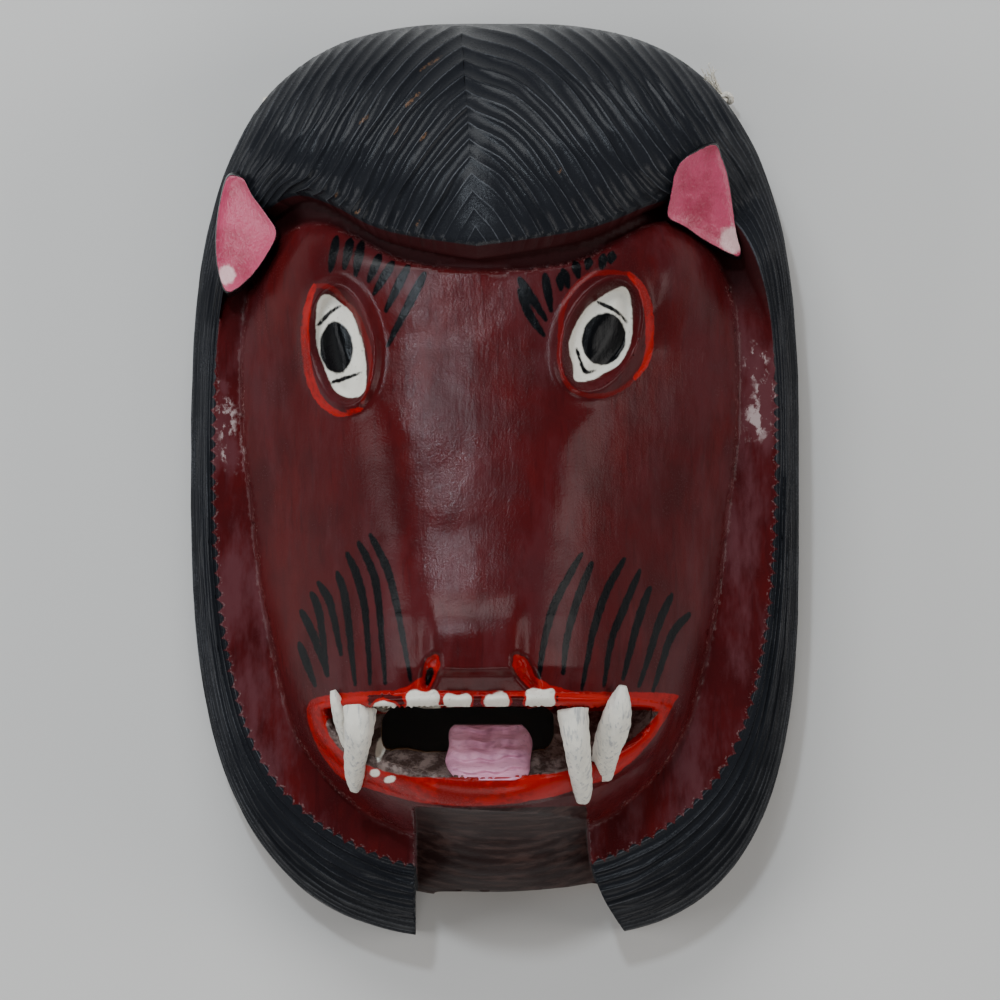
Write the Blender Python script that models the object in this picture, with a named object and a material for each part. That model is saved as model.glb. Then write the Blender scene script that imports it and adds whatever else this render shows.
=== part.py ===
# Carved and painted wooden animal mask with its hanging twine, in metres, +Z up.
# The mask lies on its back rim at z = 0. The face looks up and the top of the head points to +Y.
# Its front is laid out on a drawing sheet, x to the right and y up from the middle of the mask.
# One sheet unit is a share of the mask's own width, height or depth.

import math

import bmesh
import bpy
import numpy as np
from mathutils import Matrix, Vector
from mathutils.bvhtree import BVHTree
from mathutils.geometry import delaunay_2d_cdt

# Real sizes that can be set by themselves
MASK_HEIGHT = 0.275
MASK_WIDTH = 0.184
MASK_DEPTH = 0.105
WALL = 0.011
GROOVE_DEPTH = 0.0012
GROOVE_COUNT = 28
SIDE_GROOVE_COUNT = 11
RIM_GROOVE_COUNT = 14
TWINE_DIAMETER = 0.0026
HOLE_CLEARANCE = 0.0014

# How finely curves and free surfaces are divided
HAIR_TURNS = (0, 7, 15, 23, 31, 39, 47, 55, 62, 69, 76, 83, 90, 97, 104, 111, 118, 125, 131, 137,
              143, 149, 155, 161, 167, 173, 180)
RIM_STEP = 1.6
EDGE_HALF = 2.5
EYE_SIDES = 18
LIP_SIDES = 40
GRID_STEP = 21.0
HOLLOW_SIDES = 44
HOLLOW_RINGS = 9
HOLLOW_SMOOTHING = 2

# The drawing sheet's own size
SHEET_WIDTH = 614.0
SHEET_HEIGHT = 917.0
SHEET_DEPTH = 345.0
HALF_WIDTH = SHEET_WIDTH / 2
HALF_HEIGHT = SHEET_HEIGHT / 2

# Outline of the head: a superellipse for the upper half and one for each lower quarter
UPPER_POWER = 3.05
LOWER_LEFT_POWER = 2.8
LOWER_RIGHT_POWER = 3.4

# Hair: the parting, the border with the face and the spread of the grooves
PARTING_X = -18.0
PARTING_ANGLE = 2.0
EAR_ANGLE = 62.0
RIM_ANGLE = 50.0
RIM_POWER = 1.5
FAN_POWER = 0.9
CROWN_SPACING = 1.1
SIDE_SPACING = 1.5
WEDGE_TOP = 352.0
WEDGE_HALF = 30.0
WEDGE_EDGE = (-6.0, 10.0)
HAIR_STEP = 34.0
HAIR_STEP_RANGE = (140.0, 225.0)
HAIR_FOOT = 14.0
BORDER_FOOT = 2.5
WALL_LEAN = 0.35
RIM_LEVELS = ((0, 74), (40, 62), (75, 22), (110, 16), (140, 12), (180, 10))
HAIR_BORDER = (
    (0, 0, 232), (15, 57, 240), (30, 110, 252), (45, 160, 275), (55, 202, 283), (64, 246, 250),
    (72, 270, 190), (82, 279, 110), (92, 281, 10), (102, 278, -80), (112, 268, -165),
    (121, 250, -238), (130, 224, -290), (139, 186, -330), (148, 140, -360), (160, 84, -380),
    (180, 0, -388),
)

# Mouth: the reach of the bowl and of the lips to the side, up and down from the middle
MOUTH_MIDDLE = (-5.0, -223.0)
MOUTH_REACH = (163.0, 7.0, 66.0)
LIPS_REACH = (184.0, 20.0, 94.0)
LIP_RISE = 7.0
LIP_CHEEK = 8.0
MOUTH_DROP = 18.0
MOUTH_SLOPE = 1.3
MOUTH_WALL = 3.0
SLOT = (-112.0, 58.0, -262.0, -221.0)
SLOT_CORNER = 12.0
SLOT_TOP = 250.0

# Face plate: its edge, which keeps clear of the lips, its rim band and stations down the muzzle
FACE_MIDDLE = -5.0
NOSE_AXIS = -20.0
BAND_LEVEL = 128.0
BROW_RISE = 118.0
BROW_RISE_RANGE = (120.0, 215.0)
BAND_HALF_WIDTH = 236.0
EDGE_STEP = 13.0
CHEEK = LIPS_REACH[0] + LIP_CHEEK
FACE_EDGE = (
    (0, 207), (45, 209), (92, 219), (128, 238), (160, 254), (188, 254), (214, 236), (236, 198),
    (246, 140), (246, 50), (236, -30), (CHEEK + 36, -100), (CHEEK + 21, -180), (CHEEK, -250),
    (160, -295), (124, -326), (100, -338), (80, -346), (52, -353), (0, -357),
)
BRIDGE_ROUND = 30.0
# y, height on the axis, half-width of the flat bridge, power and softness of the flanks
STATIONS = (
    (260, 248, 110, 1.5, 1.0), (205, 256, 105, 1.4, 1.0), (130, 274, 94, 1.2, 1.0),
    (50, 294, 86, 1.15, 1.0), (-50, 315, 70, 1.2, 1.0), (-130, 335, 52, 1.4, 0.95),
    (-178, 340, 44, 1.5, 0.9), (-196, 330, 50, 1.6, 0.9), (-224, 314, 56, 1.7, 0.9),
    (-290, 276, 52, 1.8, 0.9), (-318, 258, 44, 1.9, 1.0), (-345, 238, 34, 2.0, 1.0),
    (-380, 212, 24, 2.0, 1.0),
)

# Eyes: middle, half-size and lean of the white, and the height of the rim round it
EYES = ((-152.0, 134.0, 23.0, 50.0, 8.0), (105.0, 145.0, 27.0, 49.0, -24.0))
EYE_RIM_WIDTH = 19.0
EYE_RIM_RISE = 11.0
EYE_SINK = 6.0

# Nose: its rise over the muzzle, half-width, and where it starts above and ends below
NOSE_RISE = 8.0
NOSE_HALF_WIDTH = (38.0, 54.0)
NOSE_START = (-150.0, -100.0)
NOSE_END = (-189.0, -179.0)
NOSTRILS = ((-62.0, -180.0), (26.0, -180.0))
NOSTRIL_RADIUS = 9.0
NOSTRIL_DEPTH = 12.0

# Tongue: its plan, its height over the jaw and its cross ridges
TONGUE = (-47.0, 36.0, -290.0, -238.0)
TONGUE_RISE = 24.0
TONGUE_ROOT = 14.0
TONGUE_LIFT = 10.0
TONGUE_CORNER = 9.0
TONGUE_RIDGES = 4
TONGUE_RIDGE_DEPTH = 4.0

# Fangs: middle line as x, y, rise over the muzzle and radius, root first
FANGS = {
    "upper_left": ((-132, -221, -8, 17), (-134, -243, 10, 15), (-137, -265, 14, 12),
                   (-138, -285, 14, 10), (-138, -300, 12, 6)),
    "upper_right": ((76, -221, -8, 16), (79, -249, 10, 14), (83, -277, 14, 12),
                    (86, -298, 13, 10), (87, -309, 11, 8)),
    "lower_left": ((-140, -270, -16, 8), (-145, -250, -6, 8), (-151, -230, 2, 8),
                   (-156, -213, 8, 6), (-159, -203, 9, 3)),
    "lower_right": ((106, -284, -14, 12), (110, -262, 6, 14), (117, -238, 14, 16),
                    (122, -215, 18, 12), (125, -198, 20, 4)),
}

# Ears: leaf shapes, and how far each stands over the wood below it
EARS = {
    "left": ((-265, 302), (-250, 300), (-240, 283), (-226, 264), (-216, 246), (-224, 227),
             (-242, 203), (-265, 188), (-275, 212), (-277, 244), (-273, 277)),
    "right": ((215, 332), (182, 313), (173, 281), (171, 261), (187, 252), (211, 237), (243, 224),
              (239, 250), (231, 298), (224, 319)),
}
EAR_RISE = 6.0
EAR_THICKNESS = 34.0
EAR_FOOT = 3.0
EAR_EDGE = 3.0
EAR_DISH = 5.0

# Chin: the gap that is cut between the two lobes of hair, straight on the left and curved on
# the right, the chin's line down from the lip, and the arch under the chin
LEFT_CUT = -80.0
RIGHT_CUT = ((-308, 91), (-375, 96), (-410, 107), (-440, 124), (-480, 150))
CHIN_LINE = (
    (-308, 310), (-320, 256), (-332, 196), (-346, 146), (-365, 116), (-385, 92), (-405, 54),
    (-432, -30), (-480, -60),
)
CHIN_CROWN = 0.005
ARCH_START = -365.0
CHIN_ARCH = (22.0, 84.0, 38.0)

# Hanging twine: its two holes, its knots and the slack run between them inside the mask
HOLE_ANGLE = 40.0
HOLE_LEVEL = 0.0085
KNOT_DIAMETERS = {-1: 0.0046, 1: 0.0056}
KNOT_SLACK = {-1: 0.0003, 1: 0.0013}
TWINE_MOUTH = 0.0182
TWINE_IN_HOLE = (0.0023, 0.0062, 0.0104, 0.0143)
# Share of the way from the middle to the inner mouth of the right hole, fall below it and height
TWINE_SAG = (
    (0.93, 0.0024, 0.0058), (0.845, 0.0048, 0.0034), (0.738, 0.0074, 0.0018),
    (0.595, 0.0096, 0.0015), (0.417, 0.0108, 0.0015), (0.218, 0.0106, 0.0015),
    (0.02, 0.0088, 0.0015), (-0.179, 0.0066, 0.0015), (-0.377, 0.0052, 0.0015),
    (-0.565, 0.0052, 0.0015), (-0.714, 0.0058, 0.0018), (-0.837, 0.0052, 0.0034),
    (-0.93, 0.0026, 0.0058),
)
TWINE_STEP = 0.0062
TAIL = (
    (0.0, 0.0, 0.0), (-0.0030, 0.0020, 0.0012), (-0.0060, 0.0052, 0.0022),
    (-0.0080, 0.0084, 0.0030),
)

COLOURS = {
    "mask": (0.10, 0.012, 0.014),
    "twine": (0.62, 0.57, 0.48),
}


def signed_power(value, power):
    return math.copysign(abs(value) ** power, value)


def outline_power(side, upper):
    if upper:
        return UPPER_POWER
    return LOWER_RIGHT_POWER if side > 0 else LOWER_LEFT_POWER


def outline_point(angle, side):
    # Point of the outline at an angle in degrees from the top; side is -1 left, 1 right
    turn = math.radians(angle)
    power = 2 / outline_power(side, angle < 90)
    return (
        side * HALF_WIDTH * signed_power(math.sin(turn), power),
        HALF_HEIGHT * signed_power(math.cos(turn), power),
    )


def lowest_outline():
    # The lobes end at the chin gap, a little above the lowest point of the full outline
    share = (abs(LEFT_CUT) / HALF_WIDTH) ** LOWER_LEFT_POWER
    return -HALF_HEIGHT * (1 - share) ** (1 / LOWER_LEFT_POWER)


MIDDLE_Y = (HALF_HEIGHT + lowest_outline()) / 2

# Metres for one unit of the sheet
UNIT_X = MASK_WIDTH / SHEET_WIDTH
UNIT_Y = MASK_HEIGHT / (HALF_HEIGHT - lowest_outline())
UNIT_Z = MASK_DEPTH / SHEET_DEPTH


def place(x, y, z):
    return Vector((x * UNIT_X, (y - MIDDLE_Y) * UNIT_Y, z * UNIT_Z))


def smooth_step(value, low, high):
    share = np.clip((value - low) / (high - low), 0, 1)
    return share * share * (3 - 2 * share)


def spline(points, steps, closed=False):
    # Catmull-Rom curve through the points, with some steps for each span
    count = len(points)
    spans = count if closed else count - 1
    result = []
    for index in range(spans):
        around = []
        for offset in (-1, 0, 1, 2):
            at = index + offset
            around.append(points[at % count] if closed else points[min(max(at, 0), count - 1)])
        before, start, end, after = (np.array(point, float) for point in around)
        for step in range(steps):
            t = step / steps
            result.append(0.5 * (
                2 * start + (end - before) * t
                + (2 * before - 5 * start + 4 * end - after) * t ** 2
                + (3 * start - before - 3 * end + after) * t ** 3
            ))
    if not closed:
        result.append(np.array(points[-1], float))
    return np.array(result)


def loop_distance(x, y, loop):
    # Distance of each point to a closed loop, positive inside it
    points = np.stack([np.ravel(x), np.ravel(y)], 1)[:, None, :]
    starts = loop[None, :, :]
    ends = np.roll(loop, -1, 0)[None, :, :]
    run = ends - starts
    share = ((points - starts) * run).sum(2) / np.maximum((run * run).sum(2), 1e-12)
    nearest = starts + np.clip(share, 0, 1)[:, :, None] * run
    distance = np.sqrt(((points - nearest) ** 2).sum(2)).min(1)
    crosses = (starts[:, :, 1] > points[:, :, 1]) != (ends[:, :, 1] > points[:, :, 1])
    rise = np.where(run[:, :, 1] == 0, 1e-12, run[:, :, 1])
    at_x = starts[:, :, 0] + (points[:, :, 1] - starts[:, :, 1]) * run[:, :, 0] / rise
    inside = (crosses & (points[:, :, 0] < at_x)).sum(1) % 2 == 1
    return np.where(inside, distance, -distance).reshape(np.shape(x))


def moved_loop(loop, distance):
    # The loop with each point moved outwards by a distance; the loop runs clockwise or not
    run = np.roll(loop, -1, 0) - np.roll(loop, 1, 0)
    normal = np.stack([run[:, 1], -run[:, 0]], 1) / np.linalg.norm(run, axis=1)[:, None]
    area = np.sum(loop[:, 0] * np.roll(loop[:, 1], -1) - np.roll(loop[:, 0], -1) * loop[:, 1])
    return loop + normal * distance * (1 if area > 0 else -1)


def mirrored_edge(points, middle, steps):
    # Closed loop from a half that starts and ends on the middle line
    right = [(middle + x, y) for x, y in points]
    left = [(middle - x, y) for x, y in points[-2:0:-1]]
    return spline(right + left, steps, closed=True)


def eye_loop(eye, grow, count):
    # Leaning, slightly pointed oval round the white of an eye
    x, y, half_width, half_height, lean = eye
    turn = math.radians(lean)
    points = []
    for index in range(count):
        angle = 2 * math.pi * index / count
        across = (half_width + grow) * math.sin(angle)
        along = (half_height + grow) * signed_power(math.cos(angle), 1.15)
        points.append((
            x + across * math.cos(turn) - along * math.sin(turn),
            y + across * math.sin(turn) + along * math.cos(turn),
        ))
    return np.array(points)


def mouth_loop(reach, count):
    # Oval with its own reach to the sides, up and down
    x, y = MOUTH_MIDDLE
    points = []
    for index in range(count):
        angle = 2 * math.pi * index / count
        rise = reach[1] if math.sin(angle) > 0 else reach[2]
        points.append((x + reach[0] * math.cos(angle), y + rise * math.sin(angle)))
    return np.array(points)


FACE_LOOP = mirrored_edge(FACE_EDGE, FACE_MIDDLE, 3)


def band_height(x, y):
    # The lower band between hair and face, which climbs over the brow
    over_brow = smooth_step(y, *BROW_RISE_RANGE)
    reach = np.clip(np.abs(x - FACE_MIDDLE) / BAND_HALF_WIDTH, 0, 1)
    return BAND_LEVEL + over_brow * BROW_RISE * (1 - reach ** 2)


def station_values(y):
    ys = [-row[0] for row in STATIONS]
    return [np.interp(-y, ys, [row[column] for row in STATIONS]) for column in (1, 2, 3, 4)]


def plate_height(x, y):
    # The muzzle: a flat bridge on the nose axis that falls away to the plate's edge
    ridge, bridge, power, softness = station_values(y)
    edge = band_height(x, y) + EDGE_STEP
    off = np.abs(x - NOSE_AXIS) - bridge
    beyond = (off + np.sqrt(off ** 2 + BRIDGE_ROUND ** 2)) / 2
    inside = np.maximum(loop_distance(x, y, FACE_LOOP), 0)
    out = beyond / (beyond + inside + 1e-6)
    return edge + (ridge - edge) * (1 - out ** power) ** softness


def relief_height(x, y):
    # The plate with its eyes, nose, nostrils and lips
    z = plate_height(x, y)
    for eye in EYES:
        distance = loop_distance(x, y, eye_loop(eye, 0, 40))
        rim = EYE_RIM_RISE * np.exp(-((distance + EYE_RIM_WIDTH * 0.5) / (EYE_RIM_WIDTH * 0.38)) ** 2)
        z = z + rim - EYE_SINK * smooth_step(distance, -2, 4) * (1 - smooth_step(distance, 4, 22))
    nose = smooth_step(y, *NOSE_END) * (1 - smooth_step(y, *NOSE_START))
    z = z + NOSE_RISE * nose * (1 - smooth_step(np.abs(x - NOSE_AXIS), *NOSE_HALF_WIDTH))
    for nostril in NOSTRILS:
        away = np.hypot(x - nostril[0], y - nostril[1])
        z = z - NOSTRIL_DEPTH * np.exp(-(away / NOSTRIL_RADIUS) ** 2)
    inner = -loop_distance(x, y, mouth_loop(MOUTH_REACH, 60))
    outer = loop_distance(x, y, mouth_loop(LIPS_REACH, 60))
    share = np.clip(inner, 0, None) / (np.clip(inner, 0, None) + np.clip(outer, 0, None) + 1e-6)
    z = z + LIP_RISE * np.sin(math.pi * np.where(outer > 0, share, 0)) ** 0.7
    return z


def mouth_floor(x, y):
    # The gouged bowl behind the lower lip, deepest under the upper lip
    reach = MOUTH_REACH[0] - MOUTH_WALL
    share = np.clip(np.abs(x - MOUTH_MIDDLE[0]) / reach, 0, 1)
    lip_y = MOUTH_MIDDLE[1] - MOUTH_REACH[2] * np.sqrt(1 - share ** 2)
    return plate_height(x, lip_y) - MOUTH_DROP - MOUTH_SLOPE * np.maximum(y - lip_y, 0)


def triangulated(plan, edges, around):
    # Triangles between flat points that keep the given lines and stay inside the outer loop.
    # Where two of the lines cross, the crossing comes back as a further point
    corners = [plan[index] for index in around]
    area = sum(a.x * b.y - b.x * a.y for a, b in zip(corners, corners[1:] + corners[:1]))
    if area < 0:
        around = around[::-1]
    flat, _, faces, spots, _, owners = delaunay_2d_cdt(plan, edges, [around], 1, 1e-6, True)
    crossings = []
    numbers = []
    for point, found in zip(flat, spots):
        numbers.append(found[0] if found else len(plan) + len(crossings))
        if not found:
            crossings.append(Vector(point))
    triangles = [[numbers[index] for index in face] for face, owner in zip(faces, owners) if owner]
    return triangles, crossings


# Hair: each half is a fan of grooves between the outline and the border with the face

BORDER_CURVE = spline(HAIR_BORDER, 6)


def border_point(turn, side):
    off = float(np.interp(turn, BORDER_CURVE[:, 0], BORDER_CURVE[:, 1]))
    y = float(np.interp(turn, BORDER_CURVE[:, 0], BORDER_CURVE[:, 2]))
    return side * off + PARTING_X * (1 - float(smooth_step(turn, 0, EAR_ANGLE))), y


def outline_at(turn, side):
    # The parting lies a little to the left, so both halves start from the same point there
    start = -side * PARTING_ANGLE
    return outline_point(start + turn * (180 - start) / 180, side)


def outline_normal(x, y):
    power = outline_power(x, y > 0) - 1
    across = signed_power(x / HALF_WIDTH, power) / (HALF_WIDTH * UNIT_X)
    along = signed_power(y / HALF_HEIGHT, power) / (HALF_HEIGHT * UNIT_Y)
    return Vector((across, along, 0)).normalized()


def groove_reach(number, turn):
    # The lowest number at a turn is just coming up over the outline, the highest one is running
    # out at the border, and the grooves between them share the hair
    share = min(turn / EAR_ANGLE, 1)
    low = RIM_GROOVE_COUNT * max(1 - turn / RIM_ANGLE, 0) ** RIM_POWER
    high = GROOVE_COUNT - (GROOVE_COUNT - SIDE_GROOVE_COUNT) * share ** FAN_POWER
    spacing = CROWN_SPACING + (SIDE_SPACING - CROWN_SPACING) * share
    return min(max((number - low) / (high - low), 0), 1) ** spacing


def start_turn(number):
    # Where a groove comes up over the outline
    return RIM_ANGLE * (1 - min(number / RIM_GROOVE_COUNT, 1) ** (1 / RIM_POWER))


def exit_turn(number):
    # Where a groove of the crown runs out at the hairline
    if number <= SIDE_GROOVE_COUNT:
        return 180.0
    return EAR_ANGLE * ((GROOVE_COUNT - number) / (GROOVE_COUNT - SIDE_GROOVE_COUNT)) ** (1 / FAN_POWER)


def hair_base(turn, reach, side):
    # Smooth head under the hair; reach runs from 0 at the outline to 1 at the border
    outer = outline_at(turn, side)
    inner = border_point(turn, side)
    rim = float(np.interp(turn, [row[0] for row in RIM_LEVELS], [row[1] for row in RIM_LEVELS]))
    step = HAIR_STEP * float(smooth_step(inner[1], *HAIR_STEP_RANGE))
    top = float(band_height(inner[0], inner[1])) + step
    dome = math.sqrt(max(1 - (1 - reach) ** 2, 0))
    return place(
        outer[0] + (inner[0] - outer[0]) * reach,
        outer[1] + (inner[1] - outer[1]) * reach,
        rim + (top - rim) * dome,
    )


def groove_share(spot):
    # The grooves grow shallow in the smooth wedge at the lower end of the parting
    x, y = spot.x / UNIT_X, spot.y / UNIT_Y + MIDDLE_Y
    half = WEDGE_HALF * min(max((WEDGE_TOP - y) / (WEDGE_TOP - HAIR_BORDER[0][2]), 0), 1)
    return float(smooth_step(abs(x - PARTING_X), half + WEDGE_EDGE[0], half + WEDGE_EDGE[1]))


def hair_point(turn, number, side):
    # Point of the hair, pressed in along the surface normal where it lies in a groove
    reach = groove_reach(number, turn)
    here = hair_base(turn, reach, side)
    if number % 1 == 0 or reach < 1e-6:
        return here
    if 0 < turn < 180:
        along = hair_base(turn + 0.4, reach, side) - hair_base(turn - 0.4, reach, side)
    else:
        along = Vector((1, 0, 0))
    low = max(reach - 0.01, 0)
    high = min(reach + 0.01, 1)
    across = hair_base(turn, high, side) - hair_base(turn, low, side)
    normal = along.cross(across).normalized()
    if normal.z < 0:
        normal.negate()
    return here - normal * GROOVE_DEPTH * groove_share(here)


def hair_half(side, turns):
    # Points and faces of one half, with its points on the outline and on the border
    plan = []
    points = []
    edges = []
    index_of = {}

    def add(turn, number):
        key = (round(turn, 4), number)
        if key not in index_of:
            index_of[key] = len(plan)
            plan.append(Vector((turn / 6, number)))
            points.append(hair_point(turn, number, side))
        return index_of[key]

    border = []
    rim = []
    for half_number in range(2 * GROOVE_COUNT, -1, -1):
        number = half_number / 2
        first = start_turn(number)
        last = exit_turn(number)
        line = [add(first, number)]
        if first > 0:
            # The head is steepest just above the outline
            line.append(add(first + RIM_STEP, number))
        line.extend(add(turn, number) for turn in turns if first + RIM_STEP + 1 < turn < last - 1)
        if last > first:
            line.append(add(last, number))
        edges.extend(zip(line[:-1], line[1:]))
        if number > SIDE_GROOVE_COUNT:
            border.append((last, line[-1]))
        if 0 < number <= RIM_GROOVE_COUNT:
            rim.append(line[0])
    rim.extend(line)
    border.append((EAR_ANGLE, add(EAR_ANGLE, SIDE_GROOVE_COUNT)))
    border.extend((turn, add(turn, SIDE_GROOVE_COUNT)) for turn in turns if turn > EAR_ANGLE)
    border.sort()
    start = [add(0, half_number / 2) for half_number in range(2 * RIM_GROOVE_COUNT, 2 * GROOVE_COUNT + 1)]
    end = [add(180, half_number / 2) for half_number in range(2 * SIDE_GROOVE_COUNT, -1, -1)]
    around = start + [index for _, index in border[1:]] + end[1:] + rim[::-1][1:-1]
    faces, _ = triangulated(plan, edges, around)
    return points, faces, rim, border


def border_foot(turn, side):
    # Foot of the step from the hair down to the band, in sheet units
    outer = Vector(outline_at(turn, side))
    inner = Vector(border_point(turn, side))
    over_brow = float(smooth_step(inner.y, *HAIR_STEP_RANGE))
    foot = BORDER_FOOT + (HAIR_FOOT - BORDER_FOOT) * over_brow
    return inner + (inner - outer).normalized() * foot


def face_sheet(around):
    # Points and faces inside the hair: band, plate, eyes, lips and mouth bowl
    plan = list(around)
    heights = [float(band_height(x, y)) for x, y in around]
    edges = []
    kept = []

    def add_points(points, height, closed=True, linked=True):
        start = len(plan)
        plan.extend(Vector(point) for point in points)
        xs, ys = points[:, 0], points[:, 1]
        heights.extend(float(value) for value in height(xs, ys))
        kept.extend(tuple(point) for point in points)
        if linked:
            ends = len(points) if closed else len(points) - 1
            edges.extend((start + at, start + (at + 1) % len(points)) for at in range(ends))

    add_points(moved_loop(FACE_LOOP, EDGE_HALF), band_height)
    add_points(moved_loop(FACE_LOOP, -EDGE_HALF), relief_height)
    for eye in EYES:
        for grow in (0.0, 0.5 * EYE_RIM_WIDTH, EYE_RIM_WIDTH):
            add_points(eye_loop(eye, grow, EYE_SIDES), relief_height)
    floor_reach = [reach - MOUTH_WALL for reach in MOUTH_REACH]
    lip_crest = [(low + high) / 2 for low, high in zip(MOUTH_REACH, LIPS_REACH)]
    for reach, height in (
        (LIPS_REACH, relief_height), (lip_crest, relief_height),
        (MOUTH_REACH, relief_height), (floor_reach, mouth_floor),
    ):
        add_points(mouth_loop(reach, LIP_SIDES), height)
    for x, y in NOSTRILS:
        turns = np.arange(6) * math.pi / 3
        ring = np.stack([x + NOSTRIL_RADIUS * np.cos(turns), y + NOSTRIL_RADIUS * np.sin(turns)], 1)
        add_points(ring, relief_height)
        add_points(np.array([(x, y)]), relief_height, linked=False)
    # Free points on a triangular grid, where no line of the drawing is near
    kept_array = np.array(kept)
    free = []
    rows = int(SHEET_HEIGHT / (GRID_STEP * 0.866))
    for row in range(rows):
        y = -HALF_HEIGHT + row * GRID_STEP * 0.866
        for column in range(int(SHEET_WIDTH / GRID_STEP)):
            x = -HALF_WIDTH + (column + 0.5 * (row % 2)) * GRID_STEP
            if np.hypot(kept_array[:, 0] - x, kept_array[:, 1] - y).min() > 0.55 * GRID_STEP:
                free.append((x, y))
    free = np.array(free)
    border = np.array([tuple(point) for point in around])
    free = free[loop_distance(free[:, 0], free[:, 1], border) > 0.4 * GRID_STEP]
    in_mouth = loop_distance(free[:, 0], free[:, 1], mouth_loop(floor_reach, 60)) > 0
    on_plate = loop_distance(free[:, 0], free[:, 1], FACE_LOOP) > 0
    for chosen, height in (
        (in_mouth, mouth_floor), (on_plate & ~in_mouth, relief_height), (~on_plate, band_height),
    ):
        add_points(free[chosen], height, linked=False)
    faces, crossings = triangulated(plan, edges, list(range(len(around))))
    if crossings:
        add_points(np.array(crossings), relief_height, linked=False)
    points = [place(spot[0], spot[1], height) for spot, height in zip(plan, heights)]
    return points, faces


def make_block():
    # The whole carved front, closed by a leaning wall and a flat back at z = 0
    bm = bmesh.new()
    feet = {}
    rims = {}
    for side in (-1, 1):
        points, faces, rim, border = hair_half(side, HAIR_TURNS)
        verts = [bm.verts.new(point) for point in points]
        for face in faces:
            if len(set(face)) == 3:
                bm.faces.new([verts[index] for index in face])
        rims[side] = [verts[index] for index in rim]
        feet[side] = [(border_foot(turn, side), verts[index]) for turn, index in border]
    left = feet[-1]
    right = feet[1][1:-1]
    around = [foot for foot, _ in left] + [foot for foot, _ in reversed(right)]
    tops = [vert for _, vert in left] + [vert for _, vert in reversed(right)]
    points, faces = face_sheet(around)
    inner = [bm.verts.new(point) for point in points]
    for face in faces:
        bm.faces.new([inner[index] for index in face])
    count = len(around)
    for index in range(count):
        after = (index + 1) % count
        bm.faces.new([tops[index], tops[after], inner[after], inner[index]])
    wall = rims[-1] + rims[1][::-1][1:-1]
    lower = []
    for vert in wall:
        x, y = vert.co.x / UNIT_X, vert.co.y / UNIT_Y + MIDDLE_Y
        inset = outline_normal(x, y) * WALL_LEAN * vert.co.z
        lower.append(bm.verts.new((vert.co.x - inset.x, vert.co.y - inset.y, 0)))
    for index in range(len(wall)):
        after = (index + 1) % len(wall)
        bm.faces.new([wall[index], wall[after], lower[after], lower[index]])
    bm.faces.new(lower)
    bmesh.ops.remove_doubles(bm, verts=bm.verts, dist=0.00002)
    bmesh.ops.recalc_face_normals(bm, faces=bm.faces)
    return finish_object(bm, "mask")


def finish_object(bm, name):
    mesh = bpy.data.meshes.new(name)
    bm.to_mesh(mesh)
    bm.free()
    return bpy.data.objects.new(name, mesh)


def loft_object(rings, name):
    # Closed solid through rings of equally many points
    bm = bmesh.new()
    rows = [[bm.verts.new(point) for point in ring] for ring in rings]
    for low, high in zip(rows[:-1], rows[1:]):
        for index in range(len(low)):
            after = (index + 1) % len(low)
            bm.faces.new([low[index], low[after], high[after], high[index]])
    bm.faces.new(rows[0])
    bm.faces.new(rows[-1])
    bmesh.ops.recalc_face_normals(bm, faces=bm.faces)
    return finish_object(bm, name)


def grid_object(xs_of_row, ys, top, bottom, name):
    # Closed solid between a lower and an upper height over a grid of sheet points
    bm = bmesh.new()
    layers = []
    for height in (bottom, top):
        layers.append([
            [bm.verts.new(place(x, y, height(x, y))) for x in xs_of_row(y)] for y in ys
        ])
    for layer in layers:
        for row, after in zip(layer[:-1], layer[1:]):
            for index in range(len(row) - 1):
                bm.faces.new([row[index], row[index + 1], after[index + 1], after[index]])
    low, high = layers
    rings = []
    for layer in (low, high):
        ring = layer[0] + [row[-1] for row in layer[1:-1]] + layer[-1][::-1]
        rings.append(ring + [row[0] for row in layer[-2:0:-1]])
    for index in range(len(rings[0])):
        after = (index + 1) % len(rings[0])
        bm.faces.new([rings[0][index], rings[0][after], rings[1][after], rings[1][index]])
    bmesh.ops.recalc_face_normals(bm, faces=bm.faces)
    return finish_object(bm, name)


def make_chin_cutter():
    # Takes the wood away between the lobes, down to the sloping chin
    line = spline(CHIN_LINE, 3)[::-1]
    side = spline(RIGHT_CUT, 4)[::-1]

    def row_xs(y):
        right = float(np.interp(y, side[:, 0], side[:, 1]))
        return [LEFT_CUT + (right - LEFT_CUT) * column / 10 for column in range(11)]

    def chin(x, y):
        middle = (LEFT_CUT + RIGHT_CUT[0][1]) / 2
        return float(np.interp(y, line[:, 0], line[:, 1])) - CHIN_CROWN * (x - middle) ** 2

    return grid_object(row_xs, line[:, 0], lambda x, y: SHEET_DEPTH * 1.2, chin, "chin_gap")


def front_tree(block):
    # Search tree of the carved front and side wall, without the flat back
    depsgraph = bpy.context.evaluated_depsgraph_get()
    depsgraph.update()
    carved = bpy.data.meshes.new_from_object(block.evaluated_get(depsgraph))
    carved.calc_loop_triangles()
    faces = [
        tuple(triangle.vertices) for triangle in carved.loop_triangles
        if max(carved.vertices[index].co.z for index in triangle.vertices) > 1e-6
    ]
    tree = BVHTree.FromPolygons([vert.co for vert in carved.vertices], faces)
    bpy.data.meshes.remove(carved)
    return tree


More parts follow.
